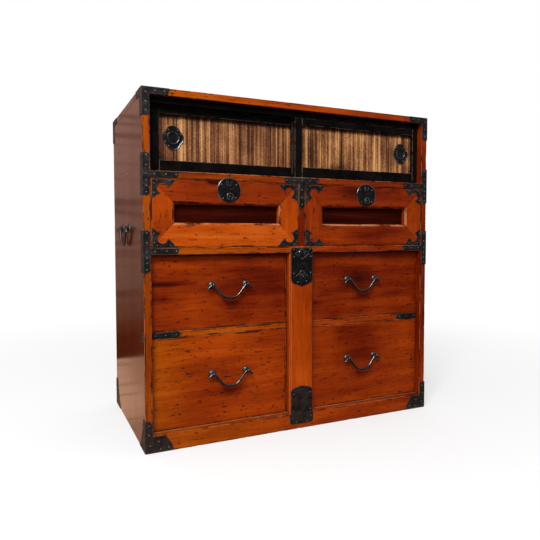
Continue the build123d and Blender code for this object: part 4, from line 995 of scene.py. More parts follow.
def mitred_member(x, z, which, tone, seed):
    """One member of a mitred frame: a profile across its width, carried from mitre to mitre.

    Across the member, q runs from the outer edge to the window; the ends move in with q so that
    neighbouring members meet on the mitre, where the arris is eased.
    """
    level = which in ("top", "bottom")
    bevel = 1 - FRAME_BEVEL / FRAME_STILE
    q = np.array([0, 0, 0.006, 0.02, 0.07, 0.16, 0.3, 0.45, 0.6, 0.74, 0.84, bevel - 0.012, bevel, 0.97, 0.995, 1, 1])
    d = np.array([FRAME_DEPTH, 1, 0.3, 0, 0, 0, 0, 0, 0, 0, 0, 0, 0.35, 2.9, 4.8, 5.4, FRAME_DEPTH])
    edge = np.array([0.2, 0.86, 0.91, 0.86, 0.5, 0, 0, 0, 0, 0, 0.2, 0.9, 1, 0.82, 0.9, 0.4, 0])
    # on the bottom and right members the window bevel is pushed into the bare-wood band, on the top and left into the
    # dirt band: wear, and a painted highlight where the bevel faces the light and painted shade where it faces away
    edge[-5:-1] = (0.98, 1.0, 1.0, 0.98) if which in ("bottom", "right") else (0.90, 0.72, 0.72, 0.6)
    long = np.ptp(x if level else z)
    near = np.array([0, 0.5, 1.2, 3])
    u = np.unique(np.concatenate([near, np.arange(6, long - 5, 4.0), long - near])) / long
    uu, qq = np.meshgrid(u, q, indexing="ij")
    from_end = np.minimum(uu, 1 - uu) * long
    spans = (x, qq * FRAME_STILE), (z, qq * FRAME_RAIL)
    (run, in_run), (rise, in_rise) = spans if level else spans[::-1]
    along = run[0] + in_run + MITRE_GAP + uu * (run[1] - run[0] - 2 * in_run - 2 * MITRE_GAP)
    across = rise[0] + in_rise if which in ("bottom", "left") else rise[1] - in_rise
    px, pz = (along, across) if level else (across, along)
    rough = np.stack([px.ravel(), np.zeros(px.size), pz.ravel()], axis=1)
    chip = np.clip(ripple(rough, 26.0, seed) - 0.35, 0, 1).reshape(px.shape)
    depth = d + (np.exp(-from_end / 0.8) * 0.5 + chip * 1.2 * (edge > 0.85)) * (d < 1)
    points = np.stack([px, FRONT + np.minimum(depth, FRAME_DEPTH), pz], axis=-1).reshape(-1, 3)
    shade = np.maximum(edge, 0.74 * np.exp(-from_end / 1.5)).ravel()
    return lofted(points, *uu.shape, edge=shade, tone=tone(points), paint=0 if level else 1)


def cusped_outline():
    """A drawer's corner iron: two arms, each ending in a slope and a cusp, and a round bite between the cusps."""
    centre, radius = np.array((27.0, 22.5)), 13.5
    start, stop = np.array((40.5, 22.0)), np.array((23.1, 35.4))
    a0, a1 = atan2(*(start - centre)[::-1]), atan2(*(stop - centre)[::-1]) - 2 * pi
    bite = [centre + radius * np.array((cos(t), sin(t))) for t in np.linspace(a0, a1, 26)]
    arm = [(0, 0), (62, 0), (56, 7.5), (50, 14), (42.5, 20.5)]
    return np.array(arm + bite + [(21, 37), (11, 42), (5, 46.5), (0, 51)])


def corner_irons_for(x, z):
    """Four cusped corner irons on a drawer front, with their nails."""
    parts = []
    outline, nails = cusped_outline(), np.array([(13, 4), (5, 11.5), (47, 4), (5, 35)])
    for edge_x, way_x in ((x[0], 1), (x[1], -1)):
        for edge_z, way_z in ((z[0], 1), (z[1], -1)):
            corner, ways = np.array((edge_x + way_x * 1.5, FRONT, edge_z + way_z * 1.5)), (way_x, way_z)
            parts += nailed_plate(outline * ways, nails * ways, corner, radius=2.1, step=1.6, rust=0.15)
    return joined(parts)


def round_lock(side):
    """A round lock plate with a raised rim, a tongue from the top, a key boss, and the case behind."""
    x, out = side * DISC_X, -Y
    centre = np.array((x, FRONT - 0.3, DISC_Z))
    disc = [(34, 0), (34, 0.7), (33.2, 1.4), (31.5, 1.9), (30.2, 1.8), (29.0, 1.5), (24, 1.9), (16, 2.3), (8, 2.5)]
    boss = [(10.2, 0), (10.2, 1.2), (9.4, 2.0), (7.4, 2.2), (6.4, 1.7), (6.1, 0.6), (3.2, 0.5), (2.8, 1.5), (1.6, 2.0)]
    boss_shade = [0.2, 0.4, 0.9, 0.9, 0.4, 0, 0, 0.4, 0.9, 0.7]
    angle = np.linspace(0, pi, 14)
    arc = np.stack([8.5 * np.cos(angle), 18.5 - 8.5 * np.sin(angle)], axis=1)
    tongue = np.concatenate([[(8.5, 31.0)], arc, [(-8.5, 31.0), (0, 32.0)]])
    scratch = [(-5, -1.6), (5, 1.0), (5.4, 2.3), (-5.2, -0.2)]
    places = [centre + (a, 0, b) for a, b in ((-23, 15), (20, 15), (18, -20), (-18, -22))]
    rear, low = -210.7, DISC_Z - 34  # of the case
    return joined([
        turned(disc + [(0.3, 2.55)], centre, out, 64, [0.1, 0.35, 0.6, 0.5, 0.2, 0, 0, 0, 0, 0]),
        sheet_iron(tongue, centre + out * 1.5, X, Z, thickness=1.7, step=1.5, edge=1.0),
        ring(centre + (0, 0, 18.5) + out * 3.1, out, 4.6, 1.6, 1.4, glint=0.5),
        turned(boss + [(0.2, 2.0)], centre + (2, 0, -17.5) + out * 1.75, out, 36, boss_shade),
        sheet_iron(scratch, centre + (8, 0, 3) + out * 2.2, X, Z, thickness=0.6, passes=0, edge=1.0, filed=0.4),
        *nail_heads(places, out, radius=2.0, high=1.4, lift=1.7),
        board((x - 22, rear, low), (x + 22, rear + 10, low + 34), 83, (6, 4, 6), chips=0.5),
        board((x - 7, rear, low + 34.1), (x + 7, rear + 6, low + 46.1), 84, (4, 4, 4), chips=0.5),
    ])


def upper_drawers():
    """Each upper drawer's mitred frame, corner irons and round lock."""
    for side, name in SIDE_NAMES.items():
        body = f"{name}_upper_drawer"
        x = sorted((side * UPPER_INNER, side * UPPER_OUTER))
        x, z = (x[0] + 0.1, x[1] - 0.1), (UPPER_LOW + 0.1, UPPER_HIGH - 0.1)
        tones = FRAME_TONES[side].items()
        frame_parts = [mitred_member(x, z, which, tone, 91 + k + 7 * side) for k, (which, tone) in enumerate(tones)]
        build(f"{name}_drawer_frame_mitred", joined(frame_parts), "front upright", body, f"{body}_frame")
        build(f"{name}_drawer_irons_cusped", corner_irons_for(x, z), "iron", body, f"{body}_irons")
        build(f"{name}_round_lock", round_lock(side), "handle", body, f"{body}_lock")


# ------------------------------------------------------------------ lower drawers
LOWER = {"middle": (312.0, 514.0), "bottom": (47.0, 293.0)}
LOWER_X = (43.0, 434.0)
HANDLE = {"middle": (217.5, 430.0), "bottom": (217.5, 187.0)}
DRAWER_SPAN, SIDE_SPAN = 50.0, 51.0  # from the middle of a bail to each post
DRAWER_WIRE, SIDE_WIRE = 3.6, 4.5  # radii of the bails in the bow
DRAWER_REACH, SIDE_REACH = 14.0, 10.0  # from the wood to the middle of a bail's wire
DRAWER_ROSE, SIDE_ROSE = 10.5, 15.0  # radii
DENTS = 60  # on each drawer front
# tones of each lower drawer front: besides differences of tone, some spots are painted shadows, namely bands under the
# rail along the middle drawers' tops and spots under and behind each bail
FRONT_TONES_AND_SHADOWS = {
    (LEFT, "middle"): blobs(
        -0.05, (-400, 488, 110, 16, 0.22), (-150, 455, 120, 50, -0.22), (-405, 436, 75, 7, -0.42),
        (-400, 395, 50, 9, -0.20), (-380, 345, 90, 25, -0.03), (-120, 350, 80, 30, -0.08), (-300, 415, 60, 8, -0.14),
        # the last spot on the next line is a painted shadow under the bail
        (-70, 410, 40, 50, -0.10), (-240, 345, 60, 30, -0.08), (-214, 374, 30, 15, -0.18),
        # a painted shadow of the rail along the drawer's top
        (-240, 513, 260, 6, -0.30), (-110, 511, 70, 8, -0.22),
    ),
    (LEFT, "bottom"): blobs(
        0.01, (-330, 262, 130, 30, 0.19), (-250, 170, 90, 60, -0.06), (-80, 160, 40, 90, 0.05),
        # the last spot on the next line is a painted shadow under the bail
        (-420, 190, 50, 110, 0.10), (-214, 131, 30, 15, -0.20),
    ),
    (RIGHT, "middle"): blobs(
        # the first spot on the next line is painted shade behind the bail, between its posts
        -0.14, (220, 430, 66, 34, -0.34), (110, 405, 60, 30, -0.14), (330, 380, 60, 8, -0.16), (400, 350, 60, 30, 0.03),
        # on the next line, the second spot is a painted shadow under the bail and the third a painted shadow of the
        # rail along the drawer's top
        (120, 350, 70, 25, 0.06), (226, 376, 32, 16, -0.24), (240, 513, 260, 5, -0.14),
    ),
    (RIGHT, "bottom"): blobs(
        -0.03, (200, 262, 110, 22, -0.16), (400, 215, 40, 60, 0.12), (228, 205, 56, 36, -0.18),
        # the middle spot on the next line is a painted shadow under the bail
        (220, 85, 150, 35, -0.07), (221, 131, 30, 15, -0.20), (100, 200, 40, 70, 0.08),
    ),
}


def drawer_front(side, row):
    """A drawer front with an eased face, and shallow dents pressed into it.

    Each dent lowers the face by its depth times a bell curve of the distance from its middle.
    """
    low, high = LOWER[row]
    x = sorted((side * LOWER_X[0], side * LOWER_X[1]))
    seed = 101 + 2 * side + (7 if row == "middle" else 0)
    shape = board((x[0], INSET, low), (x[1], INSET + 20, high), seed, (3.2, 10, 3.2), FRONT_TONES_AND_SHADOWS[side, row], 2.2)
    rng = np.random.default_rng(seed)
    points = shape["points"]
    on_face = points[:, 1] < (INSET + 0.6) * MM
    for _ in range(DENTS):
        cx, cz = rng.uniform(x[0] + 8, x[1] - 8), rng.uniform(low + 8, high - 8)
        wide, tall, deep = rng.uniform(1.5, 6.0), rng.uniform(1.2, 3.0), rng.uniform(0.15, 0.6)
        bell = np.exp(-(((points[:, 0] / MM - cx) / wide) ** 2) - ((points[:, 2] / MM - cz) / tall) ** 2)
        points[:, 1] += on_face * bell * deep * MM
        shape["tone"] -= on_face * bell * 0.35 * deep
    return yellowed_leftwards(shape, 290.0, 430.0) if row == "bottom" else shape


def bail_line(half_span, drop, slope, hook, turn=40.0, tip=13.0):
    """Half of a bail as points (along, up) from the middle of its bow: an arc, a straight, a hook and a tip."""
    s, c = sin(radians(slope)), cos(radians(slope))
    straight = (drop * s - half_span * (1 - c)) / (1 - c)
    bow = (half_span - straight * c) / s - hook
    a = np.radians(np.linspace(0, slope, 14))
    line = [np.stack([bow * np.sin(a), -drop + bow * (1 - np.cos(a))], axis=1)]
    line.append(line[0][-1] + np.linspace(0, straight, 7)[1:, None] * (c, s))
    centre = line[1][-1] + hook * np.array((s, -c))
    a = np.radians(np.linspace(slope, -turn, 20))[1:]
    line.append(centre + hook * np.stack([-np.sin(a), np.cos(a)], axis=1))
    t = radians(-turn)
    line.append(line[2][-1] + np.array([[0.4], [0.85], [1.0]]) * tip * (cos(t), sin(t)))
    return np.concatenate(line)


def bail(origin, along, out, half_span, drop, slope, wire):
    """A forged bail: a round bar along half a line and its mirror image, with blunt tips.

    Its radius falls in a smooth step from the bow to the hooks.
    """
    half = bail_line(half_span, drop, slope, wire + 4.4)
    flat = np.concatenate([half[::-1] * (-1, 1), half[1:]])
    t = np.clip(np.abs(flat[:, 0]) / half_span, 0, 1.2)
    radii = wire * (1.04 - 0.16 * smooth_step(t, 0.35, 0.95))
    radii[[0, -1]] *= 0.72
    radii[[1, -2]] *= 1.08
    return tube(origin + flat[:, :1] * along + flat[:, 1:] * Z, radii, out, 16)


def bail_posts(origin, along, out, half_span, wire, rose, stand_off):
    """Two posts: a domed rose, a waisted shank and an eye for the bail."""
    hole, eye = wire + 0.8, wire + 3.7
    neck = stand_off - (hole + eye) / 2
    k = rose / DRAWER_ROSE
    dome = min(6.4, stand_off - wire - 1.2)
    shank = max(neck, dome + 0.2)
    profile = [(10.5 * k, 0), (10.5 * k, 0.6), (9.6 * k, 0.45 * dome), (7.8 * k, 0.72 * dome), (5.6 * k, 0.9 * dome)]
    profile += [(4.2, 0.97 * dome), (3.4, dome), (3.1, dome + 0.1), (3.2, shank)]
    profile += [(2.0, shank + 0.7), (0.3, shank + 0.8)]
    shade = [0.4, 0.6, 0.3, 0.2, 0.1, 0.1, 0.1, 0.1, 0.2, 0.3, 0.3]
    parts = []
    for way in (-1, 1):
        foot = origin + way * half_span * along
        parts.append(turned(profile, foot, out, 30, shade, tone=0.7))
        parts.append(ring(foot + stand_off * out, along, (hole + eye) / 2, eye - hole, 4.4, 30, glint=0.5))
    return joined(parts)


def lower_drawers():
    """Each lower drawer's front, roses and bail."""
    for side, name in SIDE_NAMES.items():
        for row, (x, z) in HANDLE.items():
            part, foot = f"{name}_{row}", np.array((side * x, INSET, z))
            body = f"{part}_drawer"
            build(f"{body}_front_worn", drawer_front(side, row), "front", body, f"{body}_front")
            shape = bail_posts(foot, X, -Y, DRAWER_SPAN, DRAWER_WIRE, DRAWER_ROSE, DRAWER_REACH)
            build(f"{body}_roses", shape, "handle", body, f"{body}_posts")
            shape = bail(foot - DRAWER_REACH * Y, X, -Y, DRAWER_SPAN, 37.0, 52.0, DRAWER_WIRE)
            build(f"{body}_bail_forged", shape, "handle", f"{part}_bail", f"{body}_bail")


# ------------------------------------------------------------------ side handles
def side_handles():
    """The bail on each side, and both pairs of roses as one piece."""
    posts = []
    for side, name in SIDE_NAMES.items():
        foot, out, body = np.array((side * OUT, 12.0, 585.0)), side * X, f"{name}_side_bail"
        posts.append(bail_posts(foot, Y, out, SIDE_SPAN, SIDE_WIRE, SIDE_ROSE, SIDE_REACH))
        shape = bail(foot + SIDE_REACH * out, Y, out, SIDE_SPAN, 47.0, 60.0, SIDE_WIRE)
        build(f"{body}_forged", shape, "handle", body, body)
    build("side_handle_roses", joined(posts), "handle", "carcass", "side_handle_posts")


# ------------------------------------------------------------------ irons of the case
# outlines and nails, drawn inwards and up from the edge of the case
TOP_FRONT = [(-1.5, 0), (72, 0), (67, -18), (19, -18), (19, -67), (14, -72), (-1.5, -72)]
TOP_SIDE = [(0, 0), (72, 0), (67, -19), (24, -19), (24, -67), (19, -72), (0, -72)]
TOP_LID = [(0, 0), (72, 0), (67, 24), (24, 24), (24, 67), (0, 72)]
FOOT_FRONT = [(-1.5, 1), (76, 1), (68, 22), (52, 44), (19, 44), (19, 74), (12, 86), (-1.5, 86)]
FOOT_SIDE = [(0, 1), (76, 1), (54, 20), (30, 58), (24, 86), (0, 86)]
STRAP_FRONT = [
    (-1.5, 54.5), (12.5, 54.5), (17.5, 49.5), (17.5, 8), (94, 8), (89, -8), (17.5, -8), (17.5, -49.5), (12.5, -54.5),
    (-1.5, -54.5),
]
STRAP_SIDE = [(0, 54.5), (21, 54.5), (26, 49.5), (26, -49.5), (21, -54.5), (0, -54.5)]
STAR = [(6.5, 0), (1.6, 1.6), (0, 6.5), (-1.6, 1.6), (-6.5, 0), (-1.6, -1.6), (0, -6.5), (1.6, -1.6)]
TOP_NAILS = ((9.5, -14), (9.5, -38), (9.5, -60), (34, -9), (58, -9))
TOP_SIDE_NAILS = ((12, -60), (12, -36), (12, -12), (36, -10), (58, -10))
FOOT_NAILS = ((9, 74), (9, 50), (12, 22), (34, 30), (38, 10), (60, 12))
FOOT_SIDE_NAILS = ((12, 72), (14, 44), (16, 16), (40, 14))
STRAP_NAILS = ((9, 47), (9, 22), (9, -16), (9, -30), (9, -46), (30, 0), (60, 0), (86, 0))
STRAP_SIDE_NAILS = ((14, -44), (14, -15), (14, 15), (14, 44))
CORNERS = [(side, way) for side in (LEFT, RIGHT) for way in (-1, 1)]  # way is -1 in front and 1 behind


def corner_wings(side, way, z, front, front_nails, wing, wing_nails, rust=0.0):
    """An iron bent round a vertical edge of the case: a sheet on the front or back face, and one on the side."""
    origin = np.array((side * OUT, way * BACK, z))
    values = {"rust": rust, "nail_rust": rust}
    face = nailed_plate(front, front_nails, origin, -side * X, way * Y, **values)
    return face + nailed_plate(wing, wing_nails, origin, -way * Y, side * X, **values)


def top_corner_irons():
    """Irons round the four top corners, their upper wings let in flush with the top."""
    parts = []
    for side, way in CORNERS:
        parts += corner_wings(side, way, HEIGHT, TOP_FRONT, TOP_NAILS, TOP_SIDE, TOP_SIDE_NAILS)
        lid = np.array(TOP_LID, dtype=float) * (-side, -way)
        parts.append(sheet_iron(lid, np.array((side * OUT, way * BACK, HEIGHT - IRON)), X, Y))
    return parts


def foot_corner_irons():
    """Irons round the four bottom corners, browned near the floor."""
    wings = FOOT_FRONT, FOOT_NAILS, FOOT_SIDE, FOOT_SIDE_NAILS
    return [part for side, way in CORNERS for part in corner_wings(side, way, 0.0, *wings, rust=0.9)]


def edge_straps():
    """T-shaped straps where the two main rails meet the sides, with a small star at each crossing."""
    parts = []
    for side in (LEFT, RIGHT):
        for z in (RAIL_1, RAIL_2):
            parts += corner_wings(side, -1, z, STRAP_FRONT, STRAP_NAILS, STRAP_SIDE, STRAP_SIDE_NAILS)
            centre = np.array((side * (OUT - 8.5), FRONT - IRON, z))
            parts.append(sheet_iron(STAR, centre, X, Z, thickness=0.8, step=1.6, passes=0, edge=1.0, filed=0.3))
    return parts


def centre_strap():
    """The strap at the divider's head: two level arms and a round-ended tongue."""
    arc = [(8.5 * cos(t), -71 + 8.5 * sin(t)) for t in np.linspace(0, -pi, 12)]
    outline = [(-58, 8), (-53, -8), (-8.5, -8)] + arc[::-1] + [(8.5, -8), (53, -8), (58, 8)]
    nails = [(-50, 0), (-26, 0), (0, 0), (26, 0), (50, 0), (0, -26), (0, -48), (0, -68)]
    return nailed_plate(outline[::-1], nails, np.array((0, FRONT, RAIL_1)))


def rail_end_straps():
    """Short straps at the ends of the lowest rail, and cleats on the sides at its height."""
    parts = []
    strap = [(0.1, 8.2), (75, 8.2), (80, 3.2), (80, -3.2), (75, -8.2), (0.1, -8.2)]
    cleat = [(2, 13), (26, 13), (26, -13), (2, -13)]
    for side in (LEFT, RIGHT):
        end, edge = np.array((side * IN, INSET, RAIL_3)), np.array((side * OUT, FRONT, RAIL_3))
        parts += nailed_plate(strap, [(12, 0), (40, 0), (68, 0)], end, -side * X, passes=2)
        parts += nailed_plate(cleat, [(14, 0)], edge, Y, side * X)
    return parts


def case_irons():
    """Each kind of iron on the case as one piece."""
    for name, make, *nodes in (
        ("top_corner_irons", top_corner_irons, "corner_irons_top", "carcass_nails"),
        ("foot_corner_irons", foot_corner_irons, "corner_irons_bottom"),
        ("edge_straps", edge_straps, "shelf_straps"),
        ("divider_strap", centre_strap, "centre_strap"),
        ("rail_end_straps", rail_end_straps, "rail_straps"),
    ):
        build(name, joined(make()), "iron", "carcass", *nodes)


# ------------------------------------------------------------------ lock bar
BAR_FACE = FRONT - 0.3
BAR_LOW, BAR_HIGH = 46.3, 514.7
BAR_ORIGIN = np.array((0.0, BAR_FACE, 0.0))
PLATE_TOP, PLATE_THICK = 529.0, 2.0
FOOT_PLATE_LOW, FOOT_PLATE_HIGH = 46.5, 126.5


def mirrored(half):
    """A closed outline from its right half, which ends on the middle line."""
    return half + [(-a, b) for a, b in half[:-1][::-1]]


def bar_board():
    """The bar: a section with two wide chamfers carried up its length, dented a little on the chamfers."""
    half, deep, cut = 38.0, 17.0, 4.5
    left = [(-half, deep), (-half, cut + 1.2), (-half + 0.2, cut + 0.3), (-half + 2.2, cut - 2.2)]
    left += [(-half + cut - 0.3, 0.3), (-half + cut + 0.9, 0.0), (-22, 0), (0, 0)]
    edge = [0, 0.5, 0.96, 0.82, 0.96, 0.5, 0, 0]
    section, edge = np.array(mirrored(left)), np.array(edge + edge[:-1][::-1])
    stations = ticks(BAR_LOW, BAR_HIGH, [0, 0.4, 1.0, 2.5], 5.0)
    dent = dict(zip(stations, np.clip(ripple(np.stack([stations] * 3, axis=1), 40.0, 131), 0, 1)))

    def place(profile, z):
        """The section at z, set back by its dent and by an exponential of the distance to the bar's end."""
        end = exp(-min(z - BAR_LOW, BAR_HIGH - z) / 0.6)
        depth = profile[:, 1] + (0.5 * end + 0.4 * dent[z] * edge) * (profile[:, 1] < cut + 2)
        return np.column_stack([profile[:, 0] * (1 - 0.008 * end), BAR_FACE + depth, np.full(len(profile), z)])

    shape = carried(section, stations, place, edge)
    shape["tone"] = blobs(0.06, (-14, 300, 10, 200, 0.05), (20, 200, 12, 160, -0.04))(shape["points"] / MM)
    return shape


def bar_lock_plate():
    """The lock plate: a pointed sheet with a raised lozenge, a chevron, a key ring and nails."""
    tip, peak = PLATE_TOP - 112, PLATE_TOP - 63
    outline = [(31, PLATE_TOP), (35, PLATE_TOP - 4), (35, tip + 17), (31, tip + 11.5), (24, tip + 8), (0, tip)]
    nails = [(-27, 524), (27, 524.5), (-25.5, 503), (28.6, 504), (-27, 455), (28, 456), (-14, 430), (14.5, 432)]
    plate, *heads = nailed_plate(mirrored(outline), nails, BAR_ORIGIN, radius=2.2, thickness=PLATE_THICK)
    out, face = -Y, BAR_ORIGIN - PLATE_THICK * Y
    centre, key = face + (0, 0, PLATE_TOP - 17.5), face + (0, 0, peak - 17)
    parts = [plate]
    lozenge = np.array([(22.5, 0), (0, 16), (-22.5, 0), (0, -16)])
    for a, b in zip(lozenge, np.roll(lozenge, -1, axis=0)):
        ridge = np.array([centre + 0.2 * out + (x, 0, z) for x, z in (a, 0.5 * (a + b), b)])
        parts.append(tube(ridge, np.full(3, 1.4), out, 10))
        # a high edge value paints the ridges bright: rubbed iron with a painted highlight
        parts[-1]["edge"] += 0.8
    dome = [(11.2, 0), (10.4, 0.7), (7.5, 1.5), (4.0, 1.8), (0.3, 1.9)]
    chevron = [(0, peak), (19.5, peak - 19), (16.2, peak - 20.5)]
    chevron += [(0, peak - 5), (-16.2, peak - 20.5), (-19.5, peak - 19)]
    parts += [
        turned(dome, centre, out, 30, [0.5, 0.3, 0.1, 0.1, 0.2]),
        # the chevron's and the key ring's high edge values paint them bright: rubbed iron with a painted highlight
        sheet_iron(chevron, face, X, Z, thickness=1.4, step=1.5, edge=1.0),
        ring(key + 0.6 * out, out, 5.2, 1.8, 1.6, glint=0.8),
        turned([(2.6, 0), (2.4, 0.8), (0.3, 1.1)], key, out, 16, [0.3, 0.9, 0.9]),
        *(ring(key + (way * 8.5, 0, -6) + 0.4 * out, out, 2.4, 1.0, 1.0, 16) for way in (-1, 1)),
    ]
    return joined(parts + heads)


def bar_foot_plate():
    """The worn plate at the bar's foot, its top cut to a low peak."""
    low, high = FOOT_PLATE_LOW, FOOT_PLATE_HIGH
    outline = mirrored([(35, low), (35, high - 15), (32, high - 9), (20, high - 4), (0, high)])
    nails = [(-28, 54), (28, 55), (-27, 104), (27, 105), (0, 116)]
    values = {"radius": 2.2, "nail_rust": 0.7, "thickness": PLATE_THICK, "rust": 0.8}
    return joined(nailed_plate(outline, nails, BAR_ORIGIN, **values))


def keeper_plate():
    """The plate on the bottom rail under the bar, with round lower corners."""
    half, low, high, radius = 38.5, 14, 45.8, 9
    turns = np.linspace(0, pi / 2, 8)
    corner = [(half - radius + radius * cos(a), low + radius - radius * sin(a)) for a in turns]
    outline = [(half, high)] + corner + [(-a, b) for a, b in corner[::-1]] + [(-half, high)]
    nails = [(-30, 34), (30, 34), (-18, 21), (18, 21)]
    return joined(nailed_plate(outline, nails, FRONT * Y, radius=2.2, nail_rust=0.8, rust=1.0))


def lock_bar():
    """The bar with its two plates, and the plate on the rail below it."""
    build("lock_bar_board", bar_board(), "bar", "lock_bar", "lock_bar")
    build("lock_bar_lock_sheet", bar_lock_plate(), "handle", "lock_bar", "lock_bar_plate")
    build("lock_bar_foot_sheet", bar_foot_plate(), "iron", "lock_bar", "lock_bar_foot_plate")
    build("keeper_sheet", keeper_plate(), "iron", "carcass", "lock_bar_keeper_plate")


# ------------------------------------------------------------------ stage
CAMERA_PLACE = (-0.723, -1.579, 0.565)
CAMERA_YAW, CAMERA_PITCH, CAMERA_ROLL = 24.46, 2.49, -0.10  # degrees: right of +Y, down, and about the view
CAMERA_LENS, SENSOR = 35.118, 36.0
CAMERA_SHIFT = (0.00631, -0.02185)
LAMP_PLACE, LAMP_TARGET = np.array((-1.7, -2.3, 2.7)), np.array((0.0, 0.0, 0.45))
FLOOR_REACH = 9.0
CARD_LIFT = 0.002  # of the cards that lie on the floor


def looking(place, right, up, back):
    """A matrix at place whose axes are the three directions."""
    turn = np.eye(4)
    turn[:3] = np.column_stack([right, up, back, place])
    return Matrix(turn.tolist())


def light_path_factor(s):
    """1 for rays from the camera, in reflections and through glass, 0 for light that falls on things."""
    rays = s.node("LightPath", {}).outputs
    value = s.maths("MAXIMUM", rays["Is Camera Ray"], rays["Is Glossy Ray"])
    return s.maths("MAXIMUM", value, rays["Is Transmission Ray"])


def stage_sheet(name, points, quads, material):
    """A flat sheet of the stage, which isn't part of the chest."""
    mesh = bpy.data.meshes.new(name)
    mesh.from_pydata(np.asarray(points, dtype=float).tolist(), [], quads)
    mesh.materials.append(material)
    sheet = new_object(name, mesh)
    return sheet


def level(x0, x1, y0, y1):
    """Corners of a rectangle that lies just over the floor."""
    return [(x0, y0, CARD_LIFT), (x1, y0, CARD_LIFT), (x1, y1, CARD_LIFT), (x0, y1, CARD_LIFT)]


def standing(x0, x1, y, top):
    """Corners of a rectangle that stands on the floor."""
    return [(x0, y, 0.0), (x1, y, 0.0), (x1, y, top), (x0, y, top)]


def mirror_card(name, corners, stops, streaks=0.0, power=1.0):
    """A studio card that only mirror reflections see, its colours set at heights above the floor.

    Streaks darken it in level lines: across a card on the floor, and at some heights of a standing one.
    """
    s = Shader(name)
    place = s.object_place()
    shade = s.ramp(s.maths("DIVIDE", s.split(place)[2], 2.0), stops)
    if streaks:
        lies = 1.0 if max(z for _, _, z in corners) <= CARD_LIFT else 0.0
        across = s.band(s.noise(place, (1.2, 9.0, 1.0), 3, 0.7), 0.50, 0.62)
        thin = s.near_middle(s.noise(place, (0.5, 0.5, 13.0), 1), 0.04, 0.01)
        streak = s.maths("MAXIMUM", s.times(across, lies), thin)
        shade = s.mix(s.times(streak, streaks), shade, (0.10, 0.03, 0.015))
    material = s.close(s.add("Emission", {"Color": shade, "Strength": power}))
    card = stage_sheet(name, corners, [[0, 1, 2, 3]], material)
    card.visible_camera = card.visible_diffuse = card.visible_shadow = False
    card.visible_transmission = card.visible_volume_scatter = False


def floor(shade):
    """A plain round floor that fades to white far from the chest."""
    s = Shader("pale_floor")
    fade = s.band(s.vector("LENGTH", {0: s.object_place()}, 1), 0.6, 2.3, 0.45, 1.0)
    diffuse = s.add("BsdfDiffuse", {"Color": (*shade, 1.0)})
    glow = s.add("Emission", {"Color": (1, 1, 1, 1), "Strength": light_path_factor(s)})
    material = s.close(s.add("MixShader", {0: fade, 1: diffuse, 2: glow}))
    rings, spokes = 10, 48
    r, a = np.linspace(0, FLOOR_REACH, rings)[:, None], around(spokes)
    points = np.stack([r * np.cos(a), r * np.sin(a), np.zeros((rings, spokes))], axis=-1).reshape(-1, 3)
    stage_sheet("floor", points, grid_quads(rings, spokes, close_cols=True).tolist(), material)


def cards():
    """What the lacquer and the irons mirror: a warm wall and floor, a dark room and a soft window."""
    warm = [(0.0, (0.05, 0.004, 0.001)), (0.05, (0.07, 0.008, 0.002)), (0.09, (0.165, 0.062, 0.035))]
    warm += [(0.17, (0.24, 0.135, 0.095)), (0.7, (0.585, 0.34, 0.27))]
    ground, window = (0.94, 0.52, 0.32), (1.0, 0.94, 0.90)
    dark = [(0.0, (0.012, 0.010, 0.009)), (1.0, (0.03, 0.028, 0.026))]
    middle, across, rise = np.array((-1.8, -2.45, 2.8)), np.array((1.3, -0.8, 0.0)), np.array((0.45, 0.7, 0.85))
    soft = [middle + a * across + b * rise for a, b in ((-1, -1), (1, -1), (1, 1), (-1, 1))]
    mirror_card("warm_wall_card", standing(-4.0, -0.30, 0.87, 2.4), warm, 0.55)
    mirror_card("warm_floor_card", level(-4.0, -0.4552, -0.6, 0.87), [(0.0, ground), (1.0, ground)], 0.45)
    mirror_card("dark_room_card", standing(-3.5, 5.5, -3.4, 5.0), dark)
    mirror_card("dark_floor_card", level(-0.46, 5.5, -3.4, -0.25), dark)
    mirror_card("soft_window_card", soft, [(0.0, window), (1.0, window)], power=3.6)


def stage():
    """A plain pale floor, cards, an even sky, one large lamp and the camera."""
    settings = bpy.context.scene.chest_stage
    floor(settings.floor)
    cards()

    w = Shader("even_sky", "worlds")
    strength = w.band(light_path_factor(w), 0, 1, settings.sky, 1.0)
    sky = w.add("Background", {"Color": (1, 1, 1, 1), "Strength": strength})
    bpy.context.scene.world = w.close(sky, "OutputWorld")

    lamp = bpy.data.lights.new("key_lamp", "AREA")
    lamp.shape, lamp.size, lamp.size_y, lamp.energy = "RECTANGLE", 1.2, 1.0, settings.key
    back = (LAMP_PLACE - LAMP_TARGET) / np.linalg.norm(LAMP_PLACE - LAMP_TARGET)
    right = np.cross(Z, back)
    right /= np.linalg.norm(right)
    new_object("key_lamp", lamp).matrix_world = looking(LAMP_PLACE, right, np.cross(back, right), back)

    camera = bpy.data.cameras.new("camera")
    camera.lens, camera.sensor_width = CAMERA_LENS, SENSOR
    camera.shift_x, camera.shift_y = CAMERA_SHIFT
    yaw, pitch, roll = (radians(v) for v in (CAMERA_YAW, CAMERA_PITCH, CAMERA_ROLL))
    forward = np.array((sin(yaw) * cos(pitch), cos(yaw) * cos(pitch), -sin(pitch)))
    right = np.array((cos(yaw), -sin(yaw), 0.0))
    up = np.cross(right, forward)
    right, up = right * cos(roll) + up * sin(roll), up * cos(roll) - right * sin(roll)
    view = new_object("camera", camera)
    view.matrix_world = looking(CAMERA_PLACE, right, up, -forward)
    bpy.context.scene.camera = view
    bpy.context.scene.view_settings.view_transform = "Standard"


# ------------------------------------------------------------------ operators and panel
def done(*makers):
    """Runs the makers in order, and says to Blender that the operator finished."""
    for make in makers:
        make()
    return {"FINISHED"}


class CHEST_OT_stage(Operator):
    """Floor, light, cards and camera."""

    bl_idname = "chest.stage"
    bl_label = "Stage"

    def execute(self, context):
        return done(stage)


